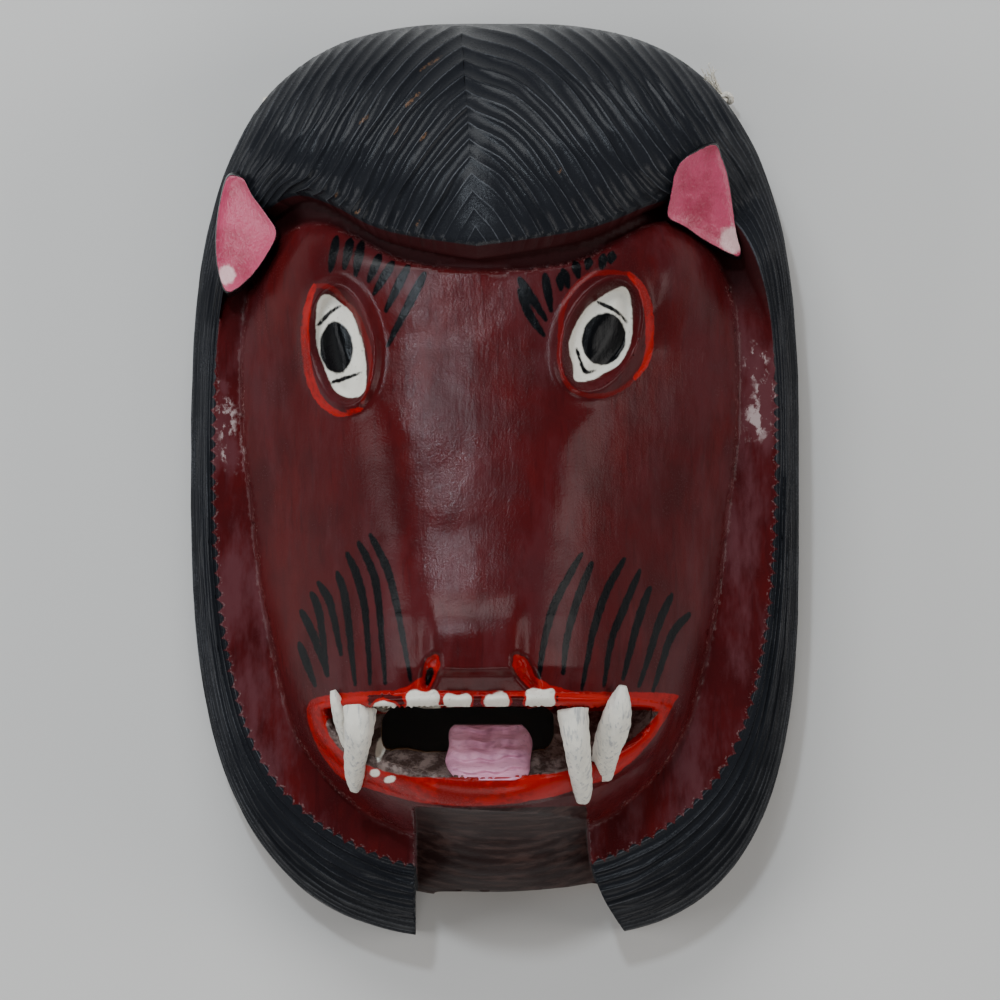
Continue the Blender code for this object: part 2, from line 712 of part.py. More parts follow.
def make_hollow_cutter(tree):
    # The gouged inside, which keeps the wall's thickness under the whole front

    def roof(x, y):
        # Highest point over x, y that is still a wall's thickness away from the front
        z = 0.0
        for _ in range(60):
            room = tree.find_nearest(Vector((x, y, z)))[3] - WALL
            if room < 0.00005:
                break
            z += room * 0.9
        return z

    def reach(turn):
        low, high = 0.0, MASK_HEIGHT
        for _ in range(24):
            middle = (low + high) / 2
            spot = Vector((middle * math.cos(turn), middle * math.sin(turn), 0))
            inside = spot.length < HALF_HEIGHT * UNIT_Y and tree.find_nearest(spot)[3] > WALL
            inside = inside and tree.ray_cast(spot, Vector((0, 0, 1)))[0] is not None
            low, high = (middle, high) if inside else (low, middle)
        return low

    turns = [2 * math.pi * index / HOLLOW_SIDES for index in range(HOLLOW_SIDES)]
    reaches = [reach(turn) for turn in turns]
    heights = np.zeros((HOLLOW_RINGS, HOLLOW_SIDES))
    shares = [math.sin(math.pi / 2 * ring / HOLLOW_RINGS) for ring in range(1, HOLLOW_RINGS + 1)]
    for ring, share in enumerate(shares):
        for index, turn in enumerate(turns):
            x = reaches[index] * share * math.cos(turn)
            y = reaches[index] * share * math.sin(turn)
            heights[ring, index] = roof(x, y)
    for _ in range(HOLLOW_SMOOTHING):
        beside = (np.roll(heights, 1, 1) + np.roll(heights, -1, 1)) / 2
        heights[:-1] = 0.5 * heights[:-1] + 0.5 * beside[:-1]
    rings = []
    for ring, share in enumerate(shares):
        rings.append([
            (reaches[index] * share * math.cos(turn), reaches[index] * share * math.sin(turn),
             heights[ring, index] if ring < HOLLOW_RINGS - 1 else 0.0)
            for index, turn in enumerate(turns)
        ])
    rings.append([(x, y, -WALL) for x, y, _ in rings[-1]])
    return loft_object(rings, "hollow")


def make_arch_cutter():
    middle, half_width, height = CHIN_ARCH
    bm = bmesh.new()
    bmesh.ops.create_cone(bm, cap_ends=True, segments=32, radius1=1, radius2=1, depth=2)
    turn = Matrix.Rotation(math.pi / 2, 4, "X")
    depth = (CHIN_LINE[-1][0] - ARCH_START) / 2
    size = Matrix.Diagonal((half_width * UNIT_X, -depth * UNIT_Y, height * UNIT_Z, 1))
    spot = place(middle, ARCH_START + depth, 0)
    bmesh.ops.transform(bm, matrix=Matrix.Translation(spot) @ size @ turn, verts=bm.verts)
    bmesh.ops.recalc_face_normals(bm, faces=bm.faces)
    return finish_object(bm, "chin_arch")


def make_slot_cutter():
    # The way from the mouth's bowl through to the hollow
    left, right, low, high = SLOT
    points = []
    for x, y, first in (
        (right - SLOT_CORNER, high - SLOT_CORNER, 0), (left + SLOT_CORNER, high - SLOT_CORNER, 1),
        (left + SLOT_CORNER, low + SLOT_CORNER, 2), (right - SLOT_CORNER, low + SLOT_CORNER, 3),
    ):
        for step in range(4):
            turn = (first + step / 3) * math.pi / 2
            points.append((x + SLOT_CORNER * math.cos(turn), y + SLOT_CORNER * math.sin(turn)))
    bottom = [place(x, y, 30) for x, y in points]
    top = [place(x, y, SLOT_TOP) for x, y in points]
    return loft_object([bottom, top], "mouth_slot")


def hole_frame(side):
    # Point on the outer wall where the twine's hole starts, and the way out of the wood
    outer = outline_point(HOLE_ANGLE, side)
    out = outline_normal(*outer)
    rim = float(np.interp(HOLE_ANGLE, [row[0] for row in RIM_LEVELS], [row[1] for row in RIM_LEVELS]))
    lean = WALL_LEAN * (rim * UNIT_Z - HOLE_LEVEL)
    spot = place(outer[0], outer[1], 0) - out * lean
    return Vector((spot.x, spot.y, HOLE_LEVEL)), out


def make_hole_cutter(side):
    spot, out = hole_frame(side)
    radius = (TWINE_DIAMETER + HOLE_CLEARANCE) / 2
    bm = bmesh.new()
    bmesh.ops.create_cone(bm, cap_ends=True, segments=12, radius1=radius, radius2=radius, depth=4 * WALL)
    turn = Vector((0, 0, 1)).rotation_difference(out).to_matrix().to_4x4()
    bmesh.ops.transform(bm, matrix=Matrix.Translation(spot) @ turn, verts=bm.verts)
    return finish_object(bm, "twine_hole_left" if side < 0 else "twine_hole_right")


def make_ear(name, tree):
    # A dished leaf of wood on the plane that lies just clear of the wood below it
    loop = spline(EARS[name], 3, closed=True)
    grounds = []
    for x, y in loop:
        hit = tree.ray_cast(place(x, y, 2 * SHEET_DEPTH), Vector((0, 0, -1)))[0]
        grounds.append(hit.z / UNIT_Z)
    terms = np.column_stack([loop, np.ones(len(loop))])
    slope = np.linalg.lstsq(terms, np.array(grounds), rcond=None)[0]
    clear = float((np.array(grounds) - terms @ slope).max()) + EAR_RISE
    rings = []
    for grow, lift in ((EAR_FOOT, -EAR_THICKNESS), (0.0, 0.0), (-EAR_EDGE, -EAR_DISH)):
        rings.append([
            place(x, y, slope[0] * x + slope[1] * y + slope[2] + clear + lift)
            for x, y in moved_loop(loop, grow)
        ])
    return loft_object(rings, "ear_" + name)


def make_tongue():
    left, right, front, back = TONGUE

    def row_xs(y):
        # The plan is rounded at its corners
        off = abs(2 * (y - front) / (back - front) - 1)
        inset = TONGUE_CORNER * off ** 4
        return [left + inset + (right - left - 2 * inset) * column / 8 for column in range(9)]

    def under(x, y):
        return float(mouth_floor(x, y)) - TONGUE_ROOT

    def top(x, y):
        share = (y - front) / (back - front)
        across = (2 * x - left - right) / (right - left)
        round_side = max(1 - across ** 4, 0) ** 0.5
        ridge = TONGUE_RIDGE_DEPTH * math.cos(2 * math.pi * TONGUE_RIDGES * share)
        rise = (TONGUE_RISE + ridge) * round_side + TONGUE_LIFT * (share - 0.4)
        return float(mouth_floor(x, y)) + rise

    rows = [front + (back - front) * row / (4 * TONGUE_RIDGES) for row in range(4 * TONGUE_RIDGES + 1)]
    return grid_object(row_xs, rows, top, under, "tongue")


def tube_mesh(points, radii, thickness, resolution, name):
    # Mesh of a round curve through points, with its caps welded
    curve = bpy.data.curves.new(name, "CURVE")
    curve.dimensions = "3D"
    curve.bevel_depth = thickness / 2
    curve.bevel_resolution = resolution
    curve.use_fill_caps = True
    line = curve.splines.new("POLY")
    line.points.add(len(points) - 1)
    for point, spot, radius in zip(line.points, points, radii):
        point.co = (*spot, 1)
        point.radius = radius
    holder = bpy.data.objects.new(name, curve)
    bpy.context.scene.collection.objects.link(holder)
    depsgraph = bpy.context.evaluated_depsgraph_get()
    mesh = bpy.data.meshes.new_from_object(holder.evaluated_get(depsgraph))
    bpy.data.objects.remove(holder)
    bm = bmesh.new()
    bm.from_mesh(mesh)
    bmesh.ops.remove_doubles(bm, verts=bm.verts, dist=0.000001)
    bmesh.ops.recalc_face_normals(bm, faces=bm.faces)
    return finish_object(bm, name)


def make_fang(name):
    curve = spline(FANGS[name], 3)
    points = [place(x, y, float(plate_height(x, y)) + rise) for x, y, rise, _ in curve]
    radii = [radius for _, _, _, radius in curve]
    return tube_mesh(points, radii, 2 * UNIT_X, 2, "fang_" + name)


def resampled(points, step):
    # Points at even distances along a smooth curve through the route
    curve = spline(points, 12)
    runs = np.linalg.norm(np.diff(curve, axis=0), axis=1)
    along = np.concatenate([[0], np.cumsum(runs)])
    count = max(int(along[-1] / step), 2)
    spots = np.linspace(0, along[-1], count + 1)
    return np.stack([np.interp(spots, along, curve[:, axis]) for axis in range(3)], 1)


def twine_route():
    # Middle line of the twine: through the right hole, slack over the floor, out on the left
    ends = {}
    for side in (-1, 1):
        spot, out = hole_frame(side)
        tip = spot + out * (KNOT_SLACK[side] - KNOT_SLACK[-1] * 2)
        ends[side] = [tip] + [spot - out * run for run in TWINE_IN_HOLE]
        mouth = spot - out * TWINE_MOUTH
        ends[side].append(Vector((mouth.x, mouth.y, HOLE_LEVEL - 0.0007)))
    mouth = ends[1][-1]
    sag = [Vector((share * mouth.x, mouth.y - fall, height)) for share, fall, height in TWINE_SAG]
    return ends[1] + sag + ends[-1][::-1]


def make_twine():
    points = resampled(twine_route(), TWINE_STEP)
    curve = bpy.data.curves.new("hanging_twine", "CURVE")
    curve.dimensions = "3D"
    curve.bevel_depth = TWINE_DIAMETER / 2
    curve.bevel_resolution = 2
    curve.use_fill_caps = True
    line = curve.splines.new("POLY")
    line.points.add(len(points) - 1)
    for point, spot in zip(line.points, points):
        point.co = (*spot, 1)
    return bpy.data.objects.new("hanging_twine", curve)


def knot_middle(side):
    spot, out = hole_frame(side)
    return spot + out * (KNOT_DIAMETERS[side] / 2 + KNOT_SLACK[side])


def make_knot(side):
    radius = KNOT_DIAMETERS[side] / 2
    name = "twine_knot_left" if side < 0 else "twine_knot_right"
    bm = bmesh.new()
    bmesh.ops.create_uvsphere(bm, u_segments=12, v_segments=8, radius=radius)
    bmesh.ops.translate(bm, vec=knot_middle(side), verts=bm.verts)
    return finish_object(bm, name)


def make_tail():
    # The frayed end that stands away from the right knot
    middle = knot_middle(1)
    points = [tuple(middle + Vector(spot)) for spot in spline(TAIL, 3)]
    radii = [1 + 0.7 * index / (len(points) - 1) for index in range(len(points))]
    return tube_mesh(points, radii, TWINE_DIAMETER, 2, "twine_tail")


def coloured(obj, name, roughness):
    material = bpy.data.materials.new(name)
    material.use_nodes = True
    shader = material.node_tree.nodes["Principled BSDF"]
    shader.inputs["Base Color"].default_value = (*COLOURS[name], 1)
    shader.inputs["Roughness"].default_value = roughness
    shader.inputs["Metallic"].default_value = 0
    obj.data.materials.clear()
    obj.data.materials.append(material)


def collection_for(name):
    collection = bpy.data.collections.new(name)
    bpy.context.scene.collection.children.link(collection)
    return collection


def hide_tool(obj, collection):
    collection.objects.link(obj)
    obj.hide_render = True
    obj.display_type = "WIRE"


def add_boolean(obj, operation, collection):
    modifier = obj.modifiers.new(collection.name, "BOOLEAN")
    modifier.operation = operation
    modifier.operand_type = "COLLECTION"
    modifier.collection = collection
    modifier.solver = "EXACT"


def main():
    for obj in list(bpy.data.objects):
        bpy.data.objects.remove(obj)
    parts = collection_for("animal_mask")
    gap = collection_for("cut_between_lobes")
    away = collection_for("carved_away")
    standing = collection_for("left_standing")

    block = make_block()
    parts.objects.link(block)
    coloured(block, "mask", 0.3)
    hide_tool(make_chin_cutter(), gap)
    add_boolean(block, "DIFFERENCE", gap)
    tree = front_tree(block)
    cutters = [make_hollow_cutter(tree), make_slot_cutter(), make_arch_cutter()]
    for tool in cutters + [make_hole_cutter(side) for side in (-1, 1)]:
        hide_tool(tool, away)
    add_boolean(block, "DIFFERENCE", away)
    for tool in [make_ear(name, tree) for name in EARS] + [make_fang(name) for name in FANGS]:
        hide_tool(tool, standing)
    hide_tool(make_tongue(), standing)
    add_boolean(block, "UNION", standing)

    left_knot = make_knot(-1)
    right_knot = make_knot(1)
    tails = collection_for("knot_tail")
    hide_tool(make_tail(), tails)
    add_boolean(right_knot, "UNION", tails)
    for piece in (make_twine(), left_knot, right_knot):
        parts.objects.link(piece)
        coloured(piece, "twine", 0.9)


main()
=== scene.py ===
# Carved and painted wooden animal mask, lying on its back rim with its hanging twine
import math

import bmesh
import bpy
import numpy as np
from mathutils import Matrix, Vector
from mathutils.bvhtree import BVHTree
from mathutils.geometry import delaunay_2d_cdt
from mathutils.kdtree import KDTree


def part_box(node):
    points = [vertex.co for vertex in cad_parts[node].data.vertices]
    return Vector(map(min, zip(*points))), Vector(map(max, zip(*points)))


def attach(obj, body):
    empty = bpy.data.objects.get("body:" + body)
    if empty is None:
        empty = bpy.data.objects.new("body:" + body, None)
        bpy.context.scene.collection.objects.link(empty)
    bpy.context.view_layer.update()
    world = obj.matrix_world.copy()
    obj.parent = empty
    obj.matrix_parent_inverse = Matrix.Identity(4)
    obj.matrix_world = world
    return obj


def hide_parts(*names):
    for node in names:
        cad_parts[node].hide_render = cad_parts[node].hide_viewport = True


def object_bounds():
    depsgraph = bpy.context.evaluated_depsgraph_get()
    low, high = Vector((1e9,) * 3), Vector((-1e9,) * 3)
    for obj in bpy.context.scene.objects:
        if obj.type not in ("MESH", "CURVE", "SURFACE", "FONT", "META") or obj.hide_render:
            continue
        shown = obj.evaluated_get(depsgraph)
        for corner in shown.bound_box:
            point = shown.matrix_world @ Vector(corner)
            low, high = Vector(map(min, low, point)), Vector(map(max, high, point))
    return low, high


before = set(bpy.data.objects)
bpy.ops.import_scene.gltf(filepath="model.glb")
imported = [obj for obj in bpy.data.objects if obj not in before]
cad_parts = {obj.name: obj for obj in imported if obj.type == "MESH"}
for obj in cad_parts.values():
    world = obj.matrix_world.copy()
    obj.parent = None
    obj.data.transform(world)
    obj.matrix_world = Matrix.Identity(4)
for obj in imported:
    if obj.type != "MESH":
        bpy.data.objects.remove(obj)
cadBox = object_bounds()
print("frame loaded", [round(value, 4) for corner in cadBox for value in corner])

# Camera: straight above the mask and far off, so that a unit of the sheet falls on a pixel

view = {"distance": 2.6, "pictureWidth": 0.2985, "heightOfFocus": 0.04, "aim": (0.0015, -0.0057)}


def placeCamera():
    camera = bpy.data.cameras.new("camera")
    camera.sensor_width = 36
    camera.lens = 36 * (view["distance"] - view["heightOfFocus"]) / view["pictureWidth"]
    camera.clip_end = 20
    holder = bpy.data.objects.new("camera", camera)
    holder.location = (view["aim"][0], view["aim"][1], view["distance"])
    bpy.context.scene.collection.objects.link(holder)
    bpy.context.scene.camera = holder


placeCamera()

# Drawing sheet: x to the right and y up from the middle of the mask, one unit about 0.3 mm

board = {
    "width": 0.184, "height": 0.275, "depth": 0.105, "wall": 0.011,
    "halfWidth": 307.0, "halfHeight": 458.5, "sheetDepth": 345.0, "leftCut": -80.0,
    "upperPower": 3.05, "lowerLeftPower": 2.8, "lowerRightPower": 3.4,
}


def signedPower(value, power):
    return np.sign(value) * np.abs(value) ** power


def lowestOutline():
    share = (abs(board["leftCut"]) / board["halfWidth"]) ** board["lowerLeftPower"]
    return -board["halfHeight"] * (1 - share) ** (1 / board["lowerLeftPower"])


def outlinePower(side, upper):  # a superellipse for the upper half and one for each lower quarter
    lower = np.where(np.asarray(side) > 0, board["lowerRightPower"], board["lowerLeftPower"])
    return np.where(upper, board["upperPower"], lower)


middleY = (board["halfHeight"] + lowestOutline()) / 2
unit = np.array([
    board["width"] / (2 * board["halfWidth"]),
    board["height"] / (board["halfHeight"] - lowestOutline()),
    board["depth"] / board["sheetDepth"],
])


def toWorld(x, y, z):
    x, y, z = np.broadcast_arrays(np.asarray(x, float), np.asarray(y, float), np.asarray(z, float))
    return np.stack([x * unit[0], (y - middleY) * unit[1], z * unit[2]], -1)


def onSheet(points):
    return points[:, 0] / unit[0], points[:, 1] / unit[1] + middleY


def smoothStep(value, low, high):
    share = np.clip((value - low) / (high - low), 0, 1)
    return share * share * (3 - 2 * share)


def smoothCurve(points, steps, closed=False):  # Catmull-Rom through the points
    points = np.array(points, float)
    count = len(points)
    spans = count if closed else count - 1
    share = (np.arange(steps) / steps)[:, None]
    rows = []
    for index in range(spans):
        around = [(index + step) % count if closed else min(max(index + step, 0), count - 1)
                  for step in (-1, 0, 1, 2)]
        before, start, end, after = points[around]
        rows.append(0.5 * (
            2 * start + (end - before) * share
            + (2 * before - 5 * start + 4 * end - after) * share ** 2
            + (3 * start - before - 3 * end + after) * share ** 3
        ))
    if not closed:
        rows.append(points[-1:])
    return np.concatenate(rows)


def segmentDistance(x, y, starts, ends, chunk=20000):
    # distance to the nearest of some segments, that segment's number and the share along it
    flat = np.stack([np.ravel(x), np.ravel(y)], 1)
    run = ends - starts
    square = np.maximum((run * run).sum(1), 1e-12)
    distances, numbers, shares = [], [], []
    for first in range(0, len(flat), chunk):
        points = flat[first:first + chunk, None, :]
        share = np.clip(((points - starts) * run).sum(2) / square, 0, 1)
        away = points - starts - share[:, :, None] * run
        distance = np.sqrt((away * away).sum(2))
        number = distance.argmin(1)
        rows = np.arange(len(number))
        distances.append(distance[rows, number])
        numbers.append(number)
        shares.append(share[rows, number])
    return np.concatenate(distances), np.concatenate(numbers), np.concatenate(shares)


def loopDistance(x, y, loop):  # positive inside the closed loop
    starts, ends = loop, np.roll(loop, -1, 0)
    distance = segmentDistance(x, y, starts, ends)[0]
    flatX, flatY = np.ravel(x), np.ravel(y)
    inside = np.zeros(len(flatX), bool)
    for start, end in zip(starts, ends):
        if start[1] != end[1]:
            crosses = (start[1] > flatY) != (end[1] > flatY)
            atX = start[0] + (flatY - start[1]) * (end[0] - start[0]) / (end[1] - start[1])
            inside ^= crosses & (flatX < atX)
    return np.where(inside, distance, -distance).reshape(np.shape(x))


def movedLoop(loop, distance):
    run = np.roll(loop, -1, 0) - np.roll(loop, 1, 0)
    normal = np.stack([run[:, 1], -run[:, 0]], 1) / np.linalg.norm(run, axis=1)[:, None]
    area = np.sum(loop[:, 0] * np.roll(loop[:, 1], -1) - np.roll(loop[:, 0], -1) * loop[:, 1])
    return loop + normal * distance * np.sign(area)


def trianglesBetween(plan, edges, around):  # keeps the drawn lines and stays inside the outer loop
    corners = np.array([plan[index] for index in around])
    turned = np.roll(corners, -1, 0)
    if np.sum(corners[:, 0] * turned[:, 1] - turned[:, 0] * corners[:, 1]) < 0:
        around = around[::-1]
    _, _, faces, spots, _, owners = delaunay_2d_cdt(
        [Vector(point) for point in plan], edges, [around], 1, 1e-6, True)
    return [[spots[index][0] for index in face] for face, owner in zip(faces, owners) if owner]


# Hair: two fans of gouged grooves between the outline and the border with the face

hair = {
    "grooves": 28, "sideGrooves": 11, "rimGrooves": 14, "rimAngle": 50.0, "rimPower": 1.5,
    "earAngle": 62.0, "fanPower": 0.9, "crownSpacing": 1.1, "sideSpacing": 1.5,
    "wedgeTop": 352.0, "wedgeHalf": 30.0, "wedgeEdge": (-6.0, 12.0),
    "partingX": -18.0, "partingAngle": 2.0, "step": 34.0, "foot": 14.0, "borderFoot": 2.5,
    "wallLean": 0.35, "cutDepth": 0.0015, "strokeDegrees": 21.0, "strokeDip": 0.3, "wander": 0.07,
    "linesPerGroove": (0.0, 0.11, 0.29, 0.5, 0.71, 0.89), "turnStep": 1.0,
    "rim": ((0, 74), (40, 62), (75, 22), (110, 16), (140, 12), (180, 10)),
    "border": (
        (0, 0, 232), (15, 57, 240), (30, 110, 252), (45, 160, 275), (55, 202, 283),
        (64, 246, 250), (72, 270, 190), (82, 279, 110), (92, 281, 10), (102, 278, -80),
        (112, 268, -165), (121, 250, -238), (130, 224, -290), (139, 186, -330),
        (148, 140, -360), (160, 84, -380), (180, 0, -388),
    ),
}
borderCurve = smoothCurve(hair["border"], 6)


def outlineAt(turn, side):
    start = -side * hair["partingAngle"]
    angle = np.radians(start + turn * (180 - start) / 180)
    power = 2 / outlinePower(side, angle < np.pi / 2)
    return (side * board["halfWidth"] * signedPower(np.sin(angle), power),
            board["halfHeight"] * signedPower(np.cos(angle), power))


def borderAt(turn, side):
    off = np.interp(turn, borderCurve[:, 0], borderCurve[:, 1])
    y = np.interp(turn, borderCurve[:, 0], borderCurve[:, 2])
    return side * off + hair["partingX"] * (1 - smoothStep(turn, 0, hair["earAngle"])), y


def grooveReach(number, turn):
    # grooves come up over the outline, share the hair and run out at the border
    share = np.minimum(turn / hair["earAngle"], 1)
    low = hair["rimGrooves"] * np.maximum(1 - turn / hair["rimAngle"], 0) ** hair["rimPower"]
    high = hair["grooves"] - (hair["grooves"] - hair["sideGrooves"]) * share ** hair["fanPower"]
    spacing = hair["crownSpacing"] + (hair["sideSpacing"] - hair["crownSpacing"]) * share
    return np.clip((number - low) / (high - low), 0, 1) ** spacing


def startTurn(number):
    return hair["rimAngle"] * (1 - min(number / hair["rimGrooves"], 1) ** (1 / hair["rimPower"]))


def exitTurn(number):
    if number <= hair["sideGrooves"]:
        return 180.0
    share = (hair["grooves"] - number) / (hair["grooves"] - hair["sideGrooves"])
    return hair["earAngle"] * share ** (1 / hair["fanPower"])


def rimHeight(turn):
    turns, heights = zip(*hair["rim"])
    return np.interp(turn, turns, heights)


def hairSurface(turn, reach, side):
    outerX, outerY = outlineAt(turn, side)
    innerX, innerY = borderAt(turn, side)
    rim = rimHeight(turn)
    top = bandHeight(innerX, innerY) + hair["step"] * smoothStep(innerY, 140, 225)
    dome = np.sqrt(np.maximum(1 - (1 - reach) ** 2, 0))
    return toWorld(outerX + (innerX - outerX) * reach, outerY + (innerY - outerY) * reach,
                   rim + (top - rim) * dome)


def hairNormal(turn, reach, side):
    along = hairSurface(np.minimum(turn + 0.4, 180), reach, side)
    along = along - hairSurface(np.maximum(turn - 0.4, 0), reach, side)
    along[(turn <= 0) | (turn >= 180)] = (1, 0, 0)
    across = hairSurface(turn, np.minimum(reach + 0.01, 1), side)
    across = across - hairSurface(turn, np.maximum(reach - 0.01, 0), side)
    normal = np.cross(along, across)
    normal /= np.linalg.norm(normal, axis=1)[:, None]
    return normal * np.where(normal[:, 2:] < 0, -1, 1)


def grooveDepth(turn, number, points, side):
    # round valleys and sharp crests, each groove cut in several strokes, shallow where they crowd
    valley = np.sin(np.pi * (number % 1)) ** 0.7
    groove = np.floor(number)
    stroke = (turn / hair["strokeDegrees"] + 0.618 * groove + 0.29 * side) % 1
    full = smoothStep(stroke, 0, 0.12) * (1 - smoothStep(stroke, 0.84, 1))
    own = 0.75 + 0.25 * np.sin(2.3 * groove + side)
    strength = own * (1 - hair["strokeDip"] * (1 - full) * smoothStep(180 - turn, 1, 6))
    beside = [hairSurface(turn, grooveReach(number + step, turn), side) for step in (-0.5, 0.5)]
    room = np.linalg.norm(beside[1] - beside[0], axis=1)
    x, y = onSheet(points)
    top = hair["wedgeTop"]
    half = hair["wedgeHalf"] * np.clip((top - y) / (top - hair["border"][0][2]), 0, 1)
    away = np.abs(x - hair["partingX"])
    outside = smoothStep(away, half + hair["wedgeEdge"][0], half + hair["wedgeEdge"][1])
    return np.minimum(hair["cutDepth"], 0.42 * room) * valley * strength * (0.12 + 0.88 * outside)


def hairHalf(side):
    step = hair["turnStep"]
    turnGrid = np.arange(0, 180 + step / 2, step)
    lines = [groove + part for groove in range(hair["grooves"]) for part in hair["linesPerGroove"]]
    lines.append(hair["grooves"])
    turns, numbers, firsts, lasts, edges, border, index = [], [], [], [], [], [], 0
    rim, start, end = [], [], []
    for number in lines[::-1]:
        first, last = startTurn(number), exitTurn(number)
        line = [first, first + 0.3 * step] if first > 0 else [first]
        line += [turn for turn in turnGrid if line[-1] + 0.3 * step < turn < last - 0.4 * step]
        if last > first:
            line.append(last)
        spots = list(range(index, index + len(line)))
        index += len(line)
        turns += line
        numbers += [number] * len(line)
        firsts += [first] * len(line)
        lasts += [last] * len(line)
        edges += list(zip(spots[:-1], spots[1:]))
        if number >= hair["rimGrooves"]:
            start.append(spots[0])
        if number > hair["sideGrooves"]:
            border.append((last, spots[-1]))
        elif number < hair["sideGrooves"]:
            end.append(spots[-1])
        else:
            border += [(turn, spot) for turn, spot in zip(line, spots) if turn >= hair["earAngle"]]
        if 0 < number <= hair["rimGrooves"]:
            rim.append(spots[0])
        if number == 0:
            rim += spots
    border.sort()
    around = start[::-1] + [spot for _, spot in border[1:]] + end + rim[::-1][1:-1]
    turns, numbers, firsts, lasts = (np.array(row) for row in (turns, numbers, firsts, lasts))
    wave = np.sin(0.21 * turns + 1.7 * numbers + 2 * side)
    wave = wave + 0.6 * np.sin(0.53 * turns + 2.9 * numbers)
    fade = (smoothStep(turns - firsts, 0, 7) * smoothStep(lasts - turns, 0, 9)
            * np.clip(numbers / 1.5, 0, 1))
    nearSide = np.clip((hair["sideGrooves"] - numbers) / 1.5, 0, 1)
    fade = fade * np.where(numbers <= hair["sideGrooves"],
                           1 - (1 - nearSide) * smoothStep(turns, 40, 56), 1)
    moved = np.clip(numbers + hair["wander"] * wave * fade, 0, hair["grooves"])
    reach = grooveReach(moved, turns)
    points = hairSurface(turns, reach, side)
    depth = grooveDepth(turns, numbers, points, side) * (reach > 1e-6)
    points = points - hairNormal(turns, reach, side) * depth[:, None]
    plan = np.stack([turns / 6, numbers], 1)
    crestPoints.extend(points[(numbers % 1 == 0) & (reach > 1e-4)])
    return points, trianglesBetween(plan, edges, around), rim, border


crestPoints = []


def hairCrests(mesh):
    # 1 on the sharp edge between two grooves, 0 beside it
    tree = KDTree(len(crestPoints))
    for index, point in enumerate(crestPoints):
        tree.insert(point, index)
    tree.balance()
    return [1.0 if tree.find(vert.co)[2] < 0.00003 else 0.0 for vert in mesh.vertices]


def borderFoot(turn, side):
    outer = np.array(outlineAt(turn, side)).T
    inner = np.array(borderAt(turn, side)).T
    overBrow = smoothStep(inner[:, 1], 140, 225)
    foot = hair["borderFoot"] + (hair["foot"] - hair["borderFoot"]) * overBrow
    way = (inner - outer) / np.linalg.norm(inner - outer, axis=1)[:, None]
    return inner + way * foot[:, None]


# Face: lower band, long muzzle, eyes, nostrils, lips, teeth and the bowl of the mouth

face = {
    "middle": -5.0, "noseAxis": -20.0, "bandLevel": 128.0, "browRise": 118.0, "edgeStep": 13.0,
    "bridgeRound": 30.0,
    "edge": (
        (0, 207), (45, 209), (92, 219), (128, 238), (160, 254), (188, 254), (214, 236),
        (236, 198), (246, 140), (246, 50), (236, -30), (228, -100), (213, -180), (192, -250),
        (160, -295), (124, -326), (100, -338), (80, -346), (52, -353), (0, -357),
    ),
    "stations": (  # y, height, half-width of the bridge, power and softness of the flanks
        (260, 248, 110, 1.5, 1.0), (205, 256, 105, 1.4, 1.0), (130, 274, 94, 1.2, 1.0),
        (50, 294, 86, 1.15, 1.0), (-50, 315, 70, 1.2, 1.0), (-130, 335, 52, 1.4, 0.95),
        (-178, 340, 44, 1.5, 0.9), (-196, 330, 50, 1.6, 0.9), (-224, 314, 56, 1.7, 0.9),
        (-290, 276, 52, 1.8, 0.9), (-318, 258, 44, 1.9, 1.0), (-345, 238, 34, 2.0, 1.0),
        (-380, 212, 24, 2.0, 1.0),
    ),
    "eyes": ((-152.0, 134.0, 23.0, 50.0, 8.0), (105.0, 145.0, 27.0, 49.0, -24.0)),
    "rimWidth": 19.0, "rimRise": 11.0, "eyeSink": 6.0,
    "noseRise": 8.0, "noseHalfWidth": (38.0, 54.0), "noseStart": (-150.0, -100.0),
    "noseEnd": (-189.0, -179.0), "nostrilDepth": 11.0,
    "nostrils": (((-58, -170), (-62, -180), (-66, -196)), ((22, -170), (28, -182), (38, -197))),
    "finePitch": 2.3, "coarsePitch": 4.6,
    "fineZones": (
        (-186, -58, 76, 246), (15, 162, 76, 230), (-202, -76, -206, -44), (36, 202, -210, -62),
        (-196, 186, -322, -190), (-78, 38, -200, -150),
    ),
}
mouth = {
    "middle": (-5.0, -223.0), "reach": (163.0, 7.0, 66.0), "lips": (184.0, 20.0, 94.0),
    "lipRise": 7.0, "drop": 18.0, "slope": 1.3, "wall": 3.0,
    "slot": (-112.0, 58.0, -262.0, -221.0), "slotCorner": 14.0, "slotTop": 250.0,
    "slotSway": 1.8,
    "gougePitch": 7.0, "gougeDepth": 1.1,
    "teeth": ((-119, -97, -225, -213), (-87, -55, -224, -202), (-49, -24, -220, -205),
              (-9, 14, -220, -204), (30, 57, -220, -201)),
    "toothRise": 3.5, "toothCorner": 4.0,
}


def mirroredEdge(points, middle, steps):
    right = [(middle + x, y) for x, y in points]
    left = [(middle - x, y) for x, y in points[-2:0:-1]]
    return smoothCurve(right + left, steps, closed=True)


faceLoop = mirroredEdge(face["edge"], face["middle"], 3)
fineFaceLoop = mirroredEdge(face["edge"], face["middle"], 9)


def eyeLoop(eye, grow, count):
    x, y, halfWidth, halfHeight, lean = eye
    angle = 2 * np.pi * np.arange(count) / count
    across = (halfWidth + grow) * np.sin(angle)
    along = (halfHeight + grow) * signedPower(np.cos(angle), 1.15)
    turn = math.radians(lean)
    return np.stack([x + across * math.cos(turn) - along * math.sin(turn),
                     y + across * math.sin(turn) + along * math.cos(turn)], 1)


